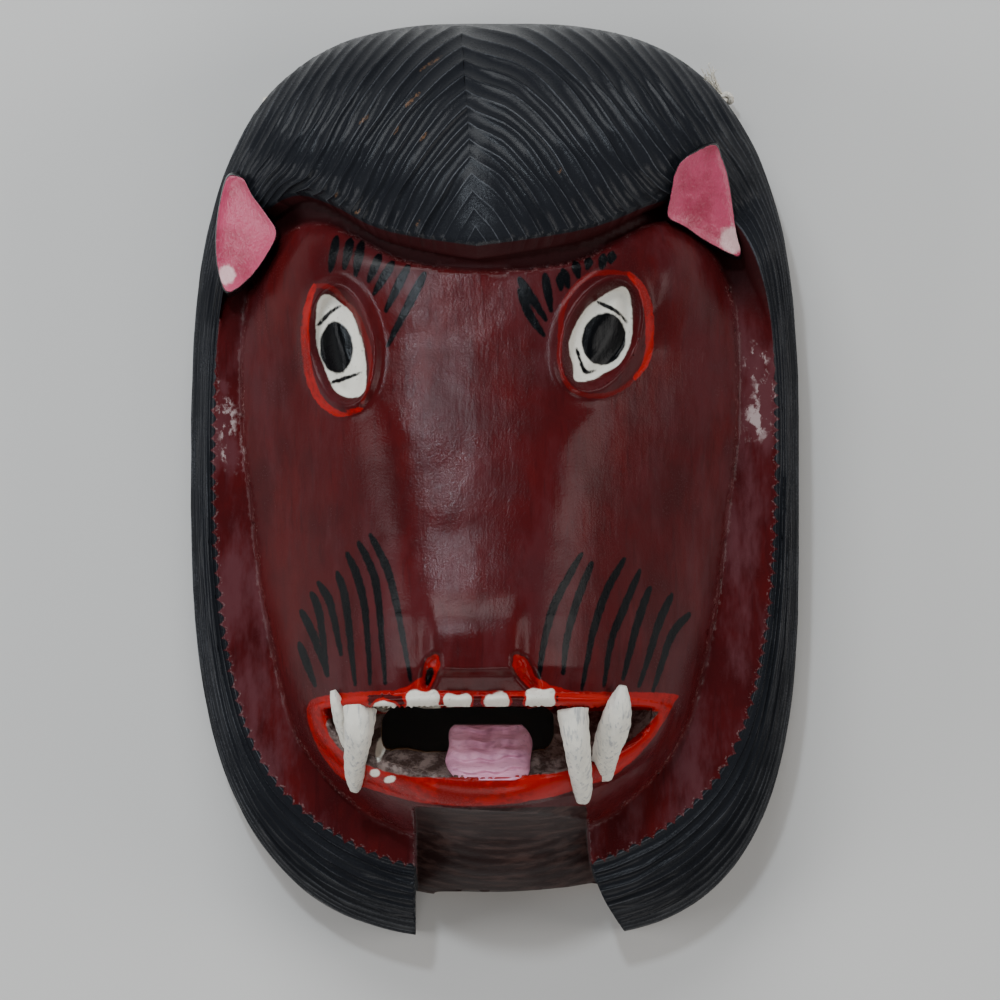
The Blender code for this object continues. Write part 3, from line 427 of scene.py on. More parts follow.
def mouthLoop(reach, count):
    angle = 2 * np.pi * np.arange(count) / count
    rise = np.where(np.sin(angle) > 0, reach[1], reach[2])
    return np.stack([mouth["middle"][0] + reach[0] * np.cos(angle),
                     mouth["middle"][1] + rise * np.sin(angle)], 1)


def bandHeight(x, y):
    reach = np.clip(np.abs(x - face["middle"]) / 236, 0, 1)
    return face["bandLevel"] + smoothStep(y, 120, 215) * face["browRise"] * (1 - reach ** 2)


def plateHeight(x, y):
    rows = np.array(face["stations"], float)
    ridge, bridge, power, softness = (np.interp(-y, -rows[:, 0], rows[:, k]) for k in (1, 2, 3, 4))
    edge = bandHeight(x, y) + face["edgeStep"]
    off = np.abs(x - face["noseAxis"]) - bridge
    beyond = (off + np.sqrt(off ** 2 + face["bridgeRound"] ** 2)) / 2
    inside = np.maximum(loopDistance(x, y, faceLoop), 0)
    out = beyond / (beyond + inside + 1e-6)
    return edge + (ridge - edge) * (1 - out ** power) ** softness


def toothField(x, y):
    # distance inside the nearest tooth, a box with round corners and hand-cut sides
    best = np.full(np.shape(x), -99.0)
    for index, (left, right, low, high) in enumerate(mouth["teeth"]):
        corner = mouth["toothCorner"]
        sway = 1.6 * np.sin(0.33 * x + 2 * index) + 1.1 * np.sin(0.51 * y + index)
        across = np.abs(x - (left + right) / 2) - (right - left) / 2 + corner
        along = np.abs(y - (low + high) / 2) - (high - low) / 2 + corner
        out = np.hypot(np.maximum(across, 0), np.maximum(along, 0)) - corner
        best = np.maximum(best, sway * 0.7 - out - np.minimum(np.maximum(across, along), 0))
    return best


def toothHeight(x, y):
    return mouth["toothRise"] * smoothStep(toothField(x, y), -0.5, 3.5)


def reliefHeight(x, y):
    z = plateHeight(x, y)
    for eye in face["eyes"]:
        distance = loopDistance(x, y, eyeLoop(eye, 0, 60))
        width = face["rimWidth"]
        rim = face["rimRise"] * np.exp(-((distance + width * 0.5) / (width * 0.38)) ** 2)
        sink = face["eyeSink"] * smoothStep(distance, -2, 4) * (1 - smoothStep(distance, 4, 22))
        z = z + rim - sink
    nose = smoothStep(y, *face["noseEnd"]) * (1 - smoothStep(y, *face["noseStart"]))
    nose = nose * (1 - smoothStep(np.abs(x - face["noseAxis"]), *face["noseHalfWidth"]))
    slits = strokeField(x, y, face["nostrils"], (6.0, 3.0))
    z = z + face["noseRise"] * nose - face["nostrilDepth"] * smoothStep(slits, -6, 4)
    inner = np.clip(-loopDistance(x, y, mouthLoop(mouth["reach"], 90)), 0, None)
    outer = loopDistance(x, y, mouthLoop(mouth["lips"], 90))
    share = np.where(outer > 0, inner / (inner + np.clip(outer, 0, None) + 1e-6), 0)
    return z + mouth["lipRise"] * np.sin(np.pi * share) ** 0.7 + toothHeight(x, y)


def mouthFloor(x, y):
    reach = mouth["reach"][0] - mouth["wall"]
    share = np.clip(np.abs(x - mouth["middle"][0]) / reach, 0, 1)
    lipY = mouth["middle"][1] - mouth["reach"][2] * np.sqrt(1 - share ** 2)
    rings = np.abs(np.sin(np.pi * np.hypot(x + 82, (y + 245) * 1.4) / mouth["gougePitch"] / 1.6))
    return (plateHeight(x, lipY) - mouth["drop"] - mouth["slope"] * np.maximum(y - lipY, 0)
            + mouth["gougeDepth"] * (rings - 1))


def latticePoints(pitch):
    rows = np.arange(-board["halfHeight"], board["halfHeight"], pitch * 0.866)
    columns = np.arange(-board["halfWidth"], board["halfWidth"], pitch)
    x, y = np.meshgrid(columns, rows)
    x = x + (np.arange(len(rows)) % 2)[:, None] * pitch / 2
    return np.stack([x.ravel(), y.ravel()], 1)


def inZones(points, grow=0.0):
    inside = np.zeros(len(points), bool)
    for left, right, low, high in face["fineZones"]:
        inside |= ((points[:, 0] > left - grow) & (points[:, 0] < right + grow)
                   & (points[:, 1] > low - grow) & (points[:, 1] < high + grow))
    return inside


def faceSheet(around):
    plan = [tuple(point) for point in around]
    heights = list(bandHeight(around[:, 0], around[:, 1]))
    edges, drawn = [], []

    def addPoints(points, height, linked=True):
        start = len(plan)
        plan.extend(tuple(point) for point in points)
        heights.extend(height(points[:, 0], points[:, 1]))
        if linked:
            drawn.append(points)
            edges.extend((start + at, start + (at + 1) % len(points)) for at in range(len(points)))

    addPoints(movedLoop(fineFaceLoop, 2.5), bandHeight)
    addPoints(movedLoop(fineFaceLoop, -2.0), reliefHeight)
    for eye in face["eyes"]:
        for grow in (-2.5, 1.0, 0.5 * face["rimWidth"], face["rimWidth"]):
            addPoints(eyeLoop(eye, grow, 72), reliefHeight)
    floorReach = [reach - mouth["wall"] for reach in mouth["reach"]]
    for reach, height in ((mouth["lips"], reliefHeight), (mouth["reach"], reliefHeight),
                          (floorReach, mouthFloor)):
        addPoints(mouthLoop(reach, 150), height)
    drawn = np.concatenate(drawn)
    free = []
    for pitch, fine in ((face["finePitch"], True), (face["coarsePitch"], False)):
        points = latticePoints(pitch)
        points = points[inZones(points) if fine else ~inZones(points, pitch * 0.4)]
        points = points[loopDistance(points[:, 0], points[:, 1], around) > 0.5 * pitch]
        starts = drawn[None, :, :]
        keep = np.concatenate([
            np.sqrt(((points[at:at + 1000, None, :] - starts) ** 2).sum(2)).min(1) > 0.6 * pitch
            for at in range(0, len(points), 1000)
        ])
        free.append(points[keep])
    free = np.concatenate(free)
    inMouth = loopDistance(free[:, 0], free[:, 1], mouthLoop(floorReach, 150)) > 0
    onPlate = loopDistance(free[:, 0], free[:, 1], fineFaceLoop) > 0
    for chosen, height in ((inMouth, mouthFloor), (onPlate & ~inMouth, reliefHeight),
                           (~onPlate & ~inMouth, bandHeight)):
        addPoints(free[chosen], height, linked=False)
    plan = np.array(plan)
    points = toWorld(plan[:, 0], plan[:, 1], np.array(heights))
    return points, trianglesBetween(plan, edges, list(range(len(around))))


# The block: hair, face and side wall in one closed skin

def meshObject(name, points, faces):
    mesh = bpy.data.meshes.new(name)
    mesh.from_pydata([tuple(point) for point in points], [], faces)
    mesh.validate()
    return bpy.data.objects.new(name, mesh)


def closeSkin(obj, merge=0.00002):
    bm = bmesh.new()
    bm.from_mesh(obj.data)
    bmesh.ops.remove_doubles(bm, verts=bm.verts, dist=merge)
    bmesh.ops.recalc_face_normals(bm, faces=bm.faces)
    bm.to_mesh(obj.data)
    bm.free()
    return obj


def vertexPoints(mesh):
    points = np.zeros(len(mesh.vertices) * 3, np.float32)
    mesh.vertices.foreach_get("co", points)
    return points.reshape(-1, 3)


def keepInBox(mesh, low, high):
    points = np.clip(vertexPoints(mesh), np.array(low), np.array(high))
    mesh.vertices.foreach_set("co", points.ravel())


def outlineNormal(x, y):
    power = outlinePower(x, y > 0) - 1
    across = signedPower(x / board["halfWidth"], power) / (board["halfWidth"] * unit[0])
    along = signedPower(y / board["halfHeight"], power) / (board["halfHeight"] * unit[1])
    normal = np.stack([across, along], -1)
    return normal / np.linalg.norm(normal, axis=-1, keepdims=True)


def makeBlock():
    points, faces, rims, feet, tops = [], [], {}, {}, {}
    count = 0
    for side in (-1, 1):
        own, triangles, rim, border = hairHalf(side)
        points.append(own)
        faces += [[index + count for index in face] for face in triangles]
        rims[side] = [index + count for index in rim]
        feet[side] = borderFoot(np.array([turn for turn, _ in border]), side)
        tops[side] = [index + count for _, index in border]
        count += len(own)
    around = np.concatenate([feet[-1], feet[1][1:-1][::-1]])
    upper = tops[-1] + tops[1][1:-1][::-1]
    sheetPoints, sheetFaces = faceSheet(around)
    faces += [[index + count for index in face] for face in sheetFaces]
    points.append(sheetPoints)
    ring = len(around)
    for index in range(ring):
        after = (index + 1) % ring
        faces.append([upper[index], upper[after], count + after, count + index])
    count += len(sheetPoints)
    wall = rims[-1] + rims[1][::-1][1:-1]
    edge = np.concatenate(points)[wall]
    normal = outlineNormal(*onSheet(edge))
    above, rows = wall, 9
    for row in range(1, rows + 1):
        share = row / rows
        level = edge[:, 2] * (1 - share)
        inset = hair["wallLean"] * (edge[:, 2] - level)
        cut = 0.5 * hair["cutDepth"] * np.sin(np.pi * 3 * share) ** 2 * (edge[:, 2] > 0.008)
        spots = edge[:, :2] - normal * (inset + cut)[:, None]
        points.append(np.column_stack([spots, level]))
        below = list(range(count, count + len(wall)))
        count += len(wall)
        for index in range(len(wall)):
            after = (index + 1) % len(wall)
            faces.append([above[index], above[after], below[after], below[index]])
        above = below
    faces.append(above)
    return closeSkin(meshObject("maskBody", np.concatenate(points), faces))


# Cutters: chin gap, hollow, mouth slot, chin arch and the two twine holes

cuts = {
    "chin": ((-308, 310), (-320, 256), (-332, 196), (-346, 146), (-365, 116), (-385, 92),
             (-405, 54), (-432, -30), (-480, -60)),
    "right": ((-308, 91), (-375, 96), (-410, 107), (-440, 124), (-480, 150)),
    "crown": 0.005, "arch": (22.0, 84.0, 38.0), "archStart": -372.0,
    "markPitch": 11.0, "markDepth": 1.6,
    "hollowSides": 110, "hollowRings": 24, "roofSteps": 60, "reachSteps": 22, "smoothing": 6,
    "holeAngle": 40.0, "holeLevel": 0.0085, "holeDiameter": 0.004,
}


def gridSolid(name, xsOfRow, ys, top, bottom):
    rows = len(ys)
    columns = len(xsOfRow(ys[0]))
    x = np.array([xsOfRow(y) for y in ys])
    y = np.repeat(np.array(ys)[:, None], columns, 1)
    points = np.concatenate([toWorld(x, y, height(x, y)).reshape(-1, 3)
                             for height in (bottom, top)])
    faces = []
    shift = rows * columns
    for row in range(rows - 1):
        for column in range(columns - 1):
            spot = row * columns + column
            quad = [spot, spot + 1, spot + columns + 1, spot + columns]
            faces += [quad, [index + shift for index in quad[::-1]]]
    ring = list(range(columns)) + [row * columns + columns - 1 for row in range(1, rows)]
    ring += [shift - 1 - column for column in range(1, columns)]
    ring += [row * columns for row in range(rows - 2, 0, -1)]
    for index, spot in enumerate(ring):
        after = ring[(index + 1) % len(ring)]
        faces.append([spot, after, after + shift, spot + shift])
    return closeSkin(meshObject(name, points, faces), 1e-7)


def loftSolid(name, rings):
    count = len(rings[0])
    faces = [list(range(count)), list(range((len(rings) - 1) * count, len(rings) * count))]
    for ring in range(len(rings) - 1):
        for index in range(count):
            after = (index + 1) % count
            low, high = ring * count, (ring + 1) * count
            faces.append([low + index, low + after, high + after, high + index])
    return closeSkin(meshObject(name, np.concatenate(rings), faces), 1e-7)


rightCut = smoothCurve(cuts["right"], 6)[::-1]


def makeChinGap():
    line = smoothCurve(cuts["chin"], 8)[::-1]
    left = board["leftCut"]

    def rowXs(y):
        return np.linspace(left, np.interp(y, rightCut[:, 0], rightCut[:, 1]), 60)

    def chin(x, y):
        middle = (left + cuts["right"][0][1]) / 2
        marks = np.abs(np.sin(np.pi * np.hypot(x - middle, (y + 250) * 1.15) / cuts["markPitch"]))
        return (np.interp(y, line[:, 0], line[:, 1]) - cuts["crown"] * (x - middle) ** 2
                - cuts["markDepth"] * (1 - marks))

    ys = np.linspace(line[0, 0], line[-1, 0], 70)
    return gridSolid("chinGap", rowXs, ys, lambda x, y: 1.2 * board["sheetDepth"] + 0 * x, chin)


def makeHollow(tree):
    wall = board["wall"]

    def roof(x, y):
        z = 0.0
        for _ in range(cuts["roofSteps"]):
            room = tree.find_nearest(Vector((x, y, z)))[3] - wall
            if room < 0.00005:
                break
            z += room * 0.9
        return z

    def reach(turn):
        low, high = 0.0, board["height"]
        for _ in range(cuts["reachSteps"]):
            middle = (low + high) / 2
            spot = Vector((middle * math.cos(turn), middle * math.sin(turn), 0))
            inside = (spot.length < board["halfHeight"] * unit[1]
                      and tree.find_nearest(spot)[3] > wall
                      and tree.ray_cast(spot, Vector((0, 0, 1)))[0] is not None)
            low, high = (middle, high) if inside else (low, middle)
        return low

    sides, ringCount = cuts["hollowSides"], cuts["hollowRings"]
    turns = 2 * np.pi * np.arange(sides) / sides
    reaches = np.array([reach(turn) for turn in turns])
    shares = np.sin(np.pi / 2 * np.arange(1, ringCount + 1) / ringCount)
    x = reaches * shares[:, None] * np.cos(turns)
    y = reaches * shares[:, None] * np.sin(turns)
    heights = np.array([[roof(a, b) for a, b in zip(rowX, rowY)] for rowX, rowY in zip(x, y)])
    for _ in range(cuts["smoothing"]):
        beside = (np.roll(heights, 1, 1) + np.roll(heights, -1, 1)) / 2
        heights[:-1] = 0.5 * heights[:-1] + 0.5 * beside[:-1]
    heights[-1] = 0
    rings = [np.stack([x[ring], y[ring], heights[ring]], 1) for ring in range(ringCount)]
    rings.append(rings[-1] - np.array([0, 0, wall]))
    return loftSolid("hollow", rings)


def cornerLoop(left, right, low, high, corner, steps=6):
    points = []
    for x, y, first in ((right - corner, high - corner, 0), (left + corner, high - corner, 1),
                        (left + corner, low + corner, 2), (right - corner, low + corner, 3)):
        turn = (first + np.arange(steps) / (steps - 1)) * np.pi / 2
        points.append(np.stack([x + corner * np.cos(turn), y + corner * np.sin(turn)], 1))
    return np.concatenate(points)


def makeSlot():
    loop = smoothCurve(cornerLoop(*mouth["slot"], mouth["slotCorner"]), 8, True)
    sway = np.sin(0.13 * loop[:, 0]) + 0.6 * np.sin(0.31 * loop[:, 0] + 1)
    loop[:, 1] += mouth["slotSway"] * sway
    return loftSolid("mouthSlot", [toWorld(loop[:, 0], loop[:, 1], level)
                                   for level in (30.0, mouth["slotTop"])])


def roundCutter(name, radii, depth, matrix, segments=40):
    bm = bmesh.new()
    bmesh.ops.create_cone(bm, cap_ends=True, segments=segments, radius1=1, radius2=1, depth=2)
    size = Matrix.Diagonal((radii[0], radii[1], depth, 1))
    bmesh.ops.transform(bm, matrix=matrix @ size, verts=bm.verts)
    bmesh.ops.recalc_face_normals(bm, faces=bm.faces)
    mesh = bpy.data.meshes.new(name)
    bm.to_mesh(mesh)
    bm.free()
    return bpy.data.objects.new(name, mesh)


def makeArch():
    middle, halfWidth, height = cuts["arch"]
    first, last = cuts["archStart"], cuts["chin"][-1][0]
    spot = Vector(toWorld(middle, (first + last) / 2, 0))
    turn = Matrix.Translation(spot) @ Matrix.Rotation(math.pi / 2, 4, "X")
    return roundCutter("chinArch", (halfWidth * unit[0], height * unit[2]),
                       (first - last) / 2 * unit[1], turn)


def holeFrame(side):
    angle = math.radians(cuts["holeAngle"])
    power = 2 / board["upperPower"]
    x = side * board["halfWidth"] * math.sin(angle) ** power
    y = board["halfHeight"] * math.cos(angle) ** power
    out = outlineNormal(np.array(x), np.array(y))
    lean = hair["wallLean"] * (rimHeight(cuts["holeAngle"]) * unit[2] - cuts["holeLevel"])
    spot = toWorld(x, y, 0)[:2] - out * lean
    return Vector((spot[0], spot[1], cuts["holeLevel"])), Vector((out[0], out[1], 0))


def makeHole(side):
    spot, out = holeFrame(side)
    turn = Vector((0, 0, 1)).rotation_difference(out).to_matrix().to_4x4()
    radius = cuts["holeDiameter"] / 2
    place = Matrix.Translation(spot) @ turn
    return roundCutter("twineHole", (radius, radius), 2 * board["wall"], place, 20)


def carve(block, cutters):
    group = bpy.data.collections.new("cutters")
    for cutter in cutters:
        group.objects.link(cutter)
    modifier = block.modifiers.new("carve", "BOOLEAN")
    modifier.operation = "DIFFERENCE"
    modifier.operand_type = "COLLECTION"
    modifier.collection = group
    modifier.solver = "EXACT"
    modifier.material_mode = "TRANSFER"
    graph = bpy.context.evaluated_depsgraph_get()
    graph.update()
    carved = bpy.data.meshes.new_from_object(block.evaluated_get(graph))
    block.modifiers.remove(modifier)
    block.data = carved
    for cutter in cutters:
        bpy.data.objects.remove(cutter)
    bpy.data.collections.remove(group)


# Shader and geometry trees, written as expressions

class Wire:
    def __init__(self, maker, socket):
        self.maker = maker
        self.socket = socket

    def math(self, operation, *values):
        return self.maker.add("ShaderNodeMath", {"operation": operation}, dict(enumerate(values)))

    def __add__(self, other):
        return self.math("ADD", self, other)

    def __sub__(self, other):
        return self.math("SUBTRACT", self, other)

    def __rsub__(self, other):
        return self.math("SUBTRACT", other, self)

    def __mul__(self, other):
        return self.math("MULTIPLY", self, other)

    def __pow__(self, other):
        return self.math("POWER", self, other)

    def __rpow__(self, other):
        return self.math("POWER", other, self)

    def __abs__(self):
        return self.math("ABSOLUTE", self)

    def sine(self):
        return self.math("SINE", self)

    def atLeast(self, other):
        return self.math("MAXIMUM", self, other)

    __radd__ = __add__
    __rmul__ = __mul__


def socketNamed(sockets, name):  # by its number, or by its title among those in use
    if isinstance(name, int):
        return sockets[name]
    return next(item for item in sockets if name in (item.identifier, item.name) and item.enabled)


class Maker:
    def __init__(self, tree):
        self.tree = tree

    def add(self, kind, settings=None, inputs=None, output=0):
        node = self.tree.nodes.new(kind)
        for name, value in (settings or {}).items():
            setattr(node, name, value)
        for name, value in (inputs or {}).items():
            socket = socketNamed(node.inputs, name)
            if isinstance(value, Wire):
                self.tree.links.new(value.socket, socket)
            else:
                socket.default_value = value
        return Wire(self, socketNamed(node.outputs, output))

    def step(self, value, low, high):
        return self.add("ShaderNodeMapRange", {"interpolation_type": "SMOOTHSTEP"},
                        {"Value": value, "From Min": low, "From Max": high})

    def scaled(self, vector, factors):
        return self.add("ShaderNodeVectorMath", {"operation": "MULTIPLY"}, {0: vector, 1: factors})

    def noise(self, vector, scale, detail=3.0, rough=0.5, twist=0.0):
        return self.add("ShaderNodeTexNoise", {"noise_dimensions": "3D"},
                        {"Vector": vector, "Scale": scale, "Detail": detail, "Roughness": rough,
                         "Distortion": twist}, "Fac")

    def blend(self, factor, first, second):
        return self.add("ShaderNodeMix", {"data_type": "RGBA"},
                        {"Factor_Float": factor, "A_Color": first, "B_Color": second},
                        "Result_Color")

    def attribute(self, name):
        return self.add("ShaderNodeAttribute", {"attribute_name": name}, None, "Fac")

    def objectCoordinates(self):
        return self.add("ShaderNodeTexCoord", None, None, "Object")


def newFinish(name, specular):
    material = bpy.data.materials.new(name)
    material.use_nodes = True
    maker = Maker(material.node_tree)
    shader = material.node_tree.nodes["Principled BSDF"]
    shader.inputs["Specular IOR Level"].default_value = specular
    return material, maker, shader


def finishWith(maker, shader, colour, rough, height, strength, distance):
    bump = maker.add("ShaderNodeBump", None,
                     {"Height": height, "Strength": strength, "Distance": distance})
    for wire, name in ((colour, "Base Color"), (rough, "Roughness"), (bump, "Normal")):
        maker.tree.links.new(wire.socket, shader.inputs[name])


paint = {
    "maroon": (0.066, 0.0060, 0.0070, 1), "maroonDark": (0.038, 0.0045, 0.0055, 1),
    # Next line: the purplish colour after the red is painted sheen, the lights' broad reflection on
    # glossy paint.
    "maroonRed": (0.092, 0.0060, 0.0060, 1), "mauveSheen": (0.105, 0.034, 0.040, 1),
    # On the next line the first colour is painted highlight with some rubbed paint along the face's
    # raised edge.
    # On the next line the whitish second colour paints the flecks by the hair border and the
    # painted highlights on the band.
    "edgeHighlightAndWear": (0.24, 0.13, 0.12, 1), "flakeAndGlint": (0.45, 0.36, 0.35, 1),
    "shade": (0.022, 0.003, 0.0035, 1),
    "black": (0.0025, 0.0027, 0.0034, 1), "blackWorn": (0.05, 0.034, 0.025, 1),
    "hairBlack": (0.0125, 0.0135, 0.0165, 1),
    # The grey first colour on the next line is painted highlight on the ridges between hair
    # grooves, with some rubbed paint.
    "crestSheenAndWear": (0.085, 0.09, 0.10, 1), "scraped": (0.16, 0.085, 0.045, 1),
    "red": (0.36, 0.0060, 0.0045, 1), "redDark": (0.15, 0.0045, 0.004, 1),
    "redDeep": (0.06, 0.0025, 0.003, 1),
    "white": (0.76, 0.73, 0.64, 1), "whiteDirty": (0.36, 0.31, 0.25, 1),
    "whiteGrey": (0.30, 0.31, 0.33, 1),
    "jaw": (0.19, 0.14, 0.125, 1), "jawDark": (0.05, 0.03, 0.026, 1),
    # The chin colours on the next line are partly the chin's own dark brown and partly painted
    # shade.
    "chin": (0.055, 0.028, 0.024, 1), "chinDark": (0.018, 0.007, 0.0065, 1),
    "pink": (0.50, 0.065, 0.135, 1), "pinkDeep": (0.30, 0.022, 0.055, 1),
    # The light pink on the next line is painted highlight on the ears.
    "pinkGlint": (0.80, 0.55, 0.55, 1),
    "tongue": (0.80, 0.38, 0.53, 1), "tongueDeep": (0.48, 0.18, 0.29, 1),
    "wood": (0.34, 0.20, 0.105, 1),
    "woodDark": (0.17, 0.088, 0.042, 1), "edgeBlur": 0.9,
}


def paintedWood():
    material, maker, shader = newFinish("paintedWood", 0.11)
    where = maker.objectCoordinates()
    jitter = maker.noise(where, 420, 3, 0.6) - 0.5
    grit = maker.noise(where, 1500, 4, 0.6)
    streaks = maker.noise(maker.scaled(where, (1.0, 0.09, 0.5)), 640, 4, 0.6)
    patches = maker.noise(where, 46, 4, 0.6)
    redPatches = maker.noise(maker.scaled(where, (1.0, 0.35, 1.0)), 70, 5, 0.62)

    def painted(name, wobble=1.6):
        blur = paint["edgeBlur"]
        return maker.step(maker.attribute(name) + jitter * wobble, -blur, blur)

    maroon = maker.blend(maker.step(patches, 0.36, 0.66) * 0.7,
                         paint["maroon"], paint["maroonDark"])
    maroon = maker.blend(maker.step(redPatches, 0.48, 0.7) * 0.6, maroon, paint["maroonRed"])
    maroon = maker.blend(maker.step(streaks, 0.54, 0.72) * 0.5, maroon, paint["maroonDark"])
    band = maker.attribute("band")
    # Painted sheen: purplish patches over the maroon, stronger on the band, stand for the lights'
    # reflection on the glossy paint.
    mauveSheen = maker.step(maker.noise(maker.scaled(where, (1.0, 0.3, 1.0)), 60, 5, 0.65), 0.46, 0.64)
    maroon = maker.blend(mauveSheen * (0.25 + band * 0.55), maroon, paint["mauveSheen"])
    # Painted highlights: whitish and purplish patches on both sides of the band, broken into
    # specks, stand for the window's reflection on the glossy paint.
    bandGlints = maker.step(maker.attribute("bandGlints") + jitter * 1.4, -0.1, 0.6)
    maroon = maker.blend(bandGlints * 0.5, maroon, paint["mauveSheen"])
    glintSpecks = maker.step(maker.noise(maker.scaled(where, (1.0, 0.6, 1.0)), 300, 5, 0.65), 0.5, 0.58)
    maroon = maker.blend(bandGlints * glintSpecks * 0.75, maroon, paint["flakeAndGlint"])
    # Painted shade: the sunken strip between the hair's foot and the face's top edge is darkened,
    # with darker paint there as well.
    recessShade = maker.attribute("recessShade")
    maroon = maker.blend(recessShade * 0.85, maroon, paint["shade"])
    # Painted highlight with some rubbed paint: light specks along the face plate's crisp raised
    # edge stand for the light it catches.
    wearAndEdgeHighlight = maker.step(maker.attribute("wearAndEdgeHighlight") + jitter * 1.8, 0.62, 1.1)
    maroon = maker.blend(wearAndEdgeHighlight * maker.step(grit, 0.5, 0.6) * 0.6, maroon, paint["edgeHighlightAndWear"])
    gouged = maker.step(maker.noise(where, 260, 4, 0.65), 0.4, 0.62)
    jaw = maker.blend(gouged, paint["jawDark"], paint["jaw"])
    colour = maker.blend(painted("jaw", 3.0), maroon, jaw)
    # The chin's dark brown is partly its own colour and partly painted shade on the steeply sloping
    # chin.
    scraped = maker.noise(maker.scaled(where, (0.25, 1.0, 1.0)), 330, 4, 0.6)
    scraped = maker.step(scraped, 0.42, 0.66)
    chinBrownAndShade = maker.blend(scraped, paint["chinDark"], paint["chin"])
    chin = maker.step(maker.attribute("chin") + jitter * 0.5, 0.35, 0.65)
    colour = maker.blend(chin, colour, chinBrownAndShade)
    red = maker.blend(maker.step(patches + jitter * 0.6, 0.45, 0.66) * 0.7,
                      paint["red"], paint["redDark"])
    colour = maker.blend(painted("faint", 3.5) * 0.7, colour, paint["redDark"])
    colour = maker.blend(painted("reds", 3.5), colour, red)
    gaps = maker.step(maker.attribute("gaps") + jitter, 0.3, 0.7)
    colour = maker.blend(gaps, colour, paint["redDeep"])
    white = maker.blend(maker.step(grit, 0.6, 0.72) * 0.7, paint["white"], paint["whiteDirty"])
    colour = maker.blend(painted("whites", 2.4), colour, white)
    rubbed = maker.step(grit + wearAndEdgeHighlight * 0.25, 0.72, 0.86)
    black = maker.blend(rubbed, paint["black"], paint["blackWorn"])
    colour = maker.blend(painted("strokes", 2.8), colour, black)
    sides = maker.attribute("scallops")
    phase = maker.attribute("alongBorder") + maker.noise(where, 55, 2, 0.5) * 26
    scallops = abs((phase * (math.pi / 13)).sine()) - 0.5
    hairs = maker.attribute("hairs") + scallops * sides * 5.5 + jitter * (1.0 + sides * 2.4)
    flaked = (1 - maker.step(abs(hairs + 1.4), 0.5, 1.8)) * maker.step(grit, 0.5, 0.62)
    colour = maker.blend(flaked * sides * 0.2, colour, paint["flakeAndGlint"])
    hairMask = maker.step(hairs, -0.7, 0.7)
    # Painted highlight with some rubbed paint: grey lines on the sharp ridges between the hair
    # grooves, in patches, stand for light caught by the ridges.
    crests = maker.step(maker.attribute("crests") + (grit - 0.5) * 1.2, 0.5, 1.0)
    hairBlack = maker.blend(rubbed, paint["hairBlack"], paint["blackWorn"])
    crests = crests * maker.step(patches, 0.38, 0.6) * 0.8
    hairBlack = maker.blend(crests, hairBlack, paint["crestSheenAndWear"])
    colour = maker.blend(hairMask, colour, hairBlack)
    scrapes = maker.step(maker.attribute("scrapes") + jitter * 5, 0.2, 1.4)
    scrapes = scrapes * maker.step(grit, 0.4, 0.55)
    colour = maker.blend(scrapes * 0.75, colour, paint["scraped"])
    rough = 0.17 + 0.1 * maker.step(patches, 0.35, 0.7) + 0.24 * (grit - 0.5) + 0.06 * hairMask
    rough = rough + 0.35 * recessShade * (1 - hairMask) + 0.14 * chin
    brush = streaks * 0.4 + grit * 0.4 + maker.noise(where, 150, 3, 0.5) * 0.9
    finishWith(maker, shader, colour, rough.atLeast(0.1), brush, 0.3, 0.0006)
    return material


def bareWood():
    material, maker, shader = newFinish("bareWood", 0.3)
    where = maker.objectCoordinates()
    grain = maker.noise(maker.scaled(where, (1.0, 0.05, 1.0)), 700, 5, 0.6, 0.4)
    rings = maker.noise(maker.scaled(where, (1.0, 0.12, 1.0)), 90, 3, 0.5, 1.2)
    stains = maker.noise(where, 28, 4, 0.6)
    colour = maker.blend(maker.step(grain * 0.6 + rings * 0.5, 0.42, 0.7),
                         paint["woodDark"], paint["wood"])
    colour = maker.blend(maker.step(stains, 0.52, 0.72) * 0.55, colour, paint["woodDark"])
    finishWith(maker, shader, colour, 0.62 + 0.2 * grain, grain * 0.7 + rings * 0.4, 0.5, 0.0006)
    return material


def plainPaint(name, main, second, rough, grainAxis, grainStrength, patchSize, patchStrength):
    # one painted colour with streaks and patches of another, painted highlight spots where set, and
    # black on the edge
    material, maker, shader = newFinish(name, 0.5)
    where = maker.objectCoordinates()
    jitter = maker.noise(where, 420, 3, 0.6) - 0.5
    grain = maker.noise(maker.scaled(where, grainAxis), 900, 4, 0.62)
    patches = maker.noise(where, patchSize, 3, 0.6)
    colour = maker.blend(maker.step(patches, 0.44, 0.64) * patchStrength, main, second)
    colour = maker.blend(maker.step(grain, 0.5, 0.68) * grainStrength, colour, second)
    # Painted highlight: light pink spots stand for glints on the glossy ears.
    earGlint = maker.step(maker.attribute("earGlint") + jitter * 0.6, 0.3, 0.6)
    colour = maker.blend(earGlint * 0.8, colour, paint["pinkGlint"])
    border = maker.step(maker.attribute("border") + jitter * 0.06, -0.012, 0.012)
    colour = maker.blend(border, colour, paint["black"])
    roughness = rough + 0.3 * (grain - 0.5) + 0.1 * patches
    bumps = grain + patches * 0.6 + maker.noise(where, 260, 3, 0.6) * 0.8
    finishWith(maker, shader, colour, roughness.atLeast(0.12), bumps, 0.55, 0.0006)
    return material


def fibreTwine():
    material, maker, shader = newFinish("fibreTwine", 0.2)
    where = maker.objectCoordinates()
    fine = maker.noise(where, 2600, 4, 0.6)
    broad = maker.noise(where, 320, 3, 0.6)
    colour = maker.blend(maker.step(fine, 0.3, 0.6), (0.48, 0.42, 0.32, 1), (0.85, 0.81, 0.72, 1))
    colour = maker.blend(maker.step(broad, 0.55, 0.8) * 0.4, colour, (0.34, 0.28, 0.2, 1))
    finishWith(maker, shader, colour, 0.8 + 0.15 * fine, fine, 0.6, 0.0003)
    return material


# Drawn paint: signed distances on the mesh, positive inside the paint

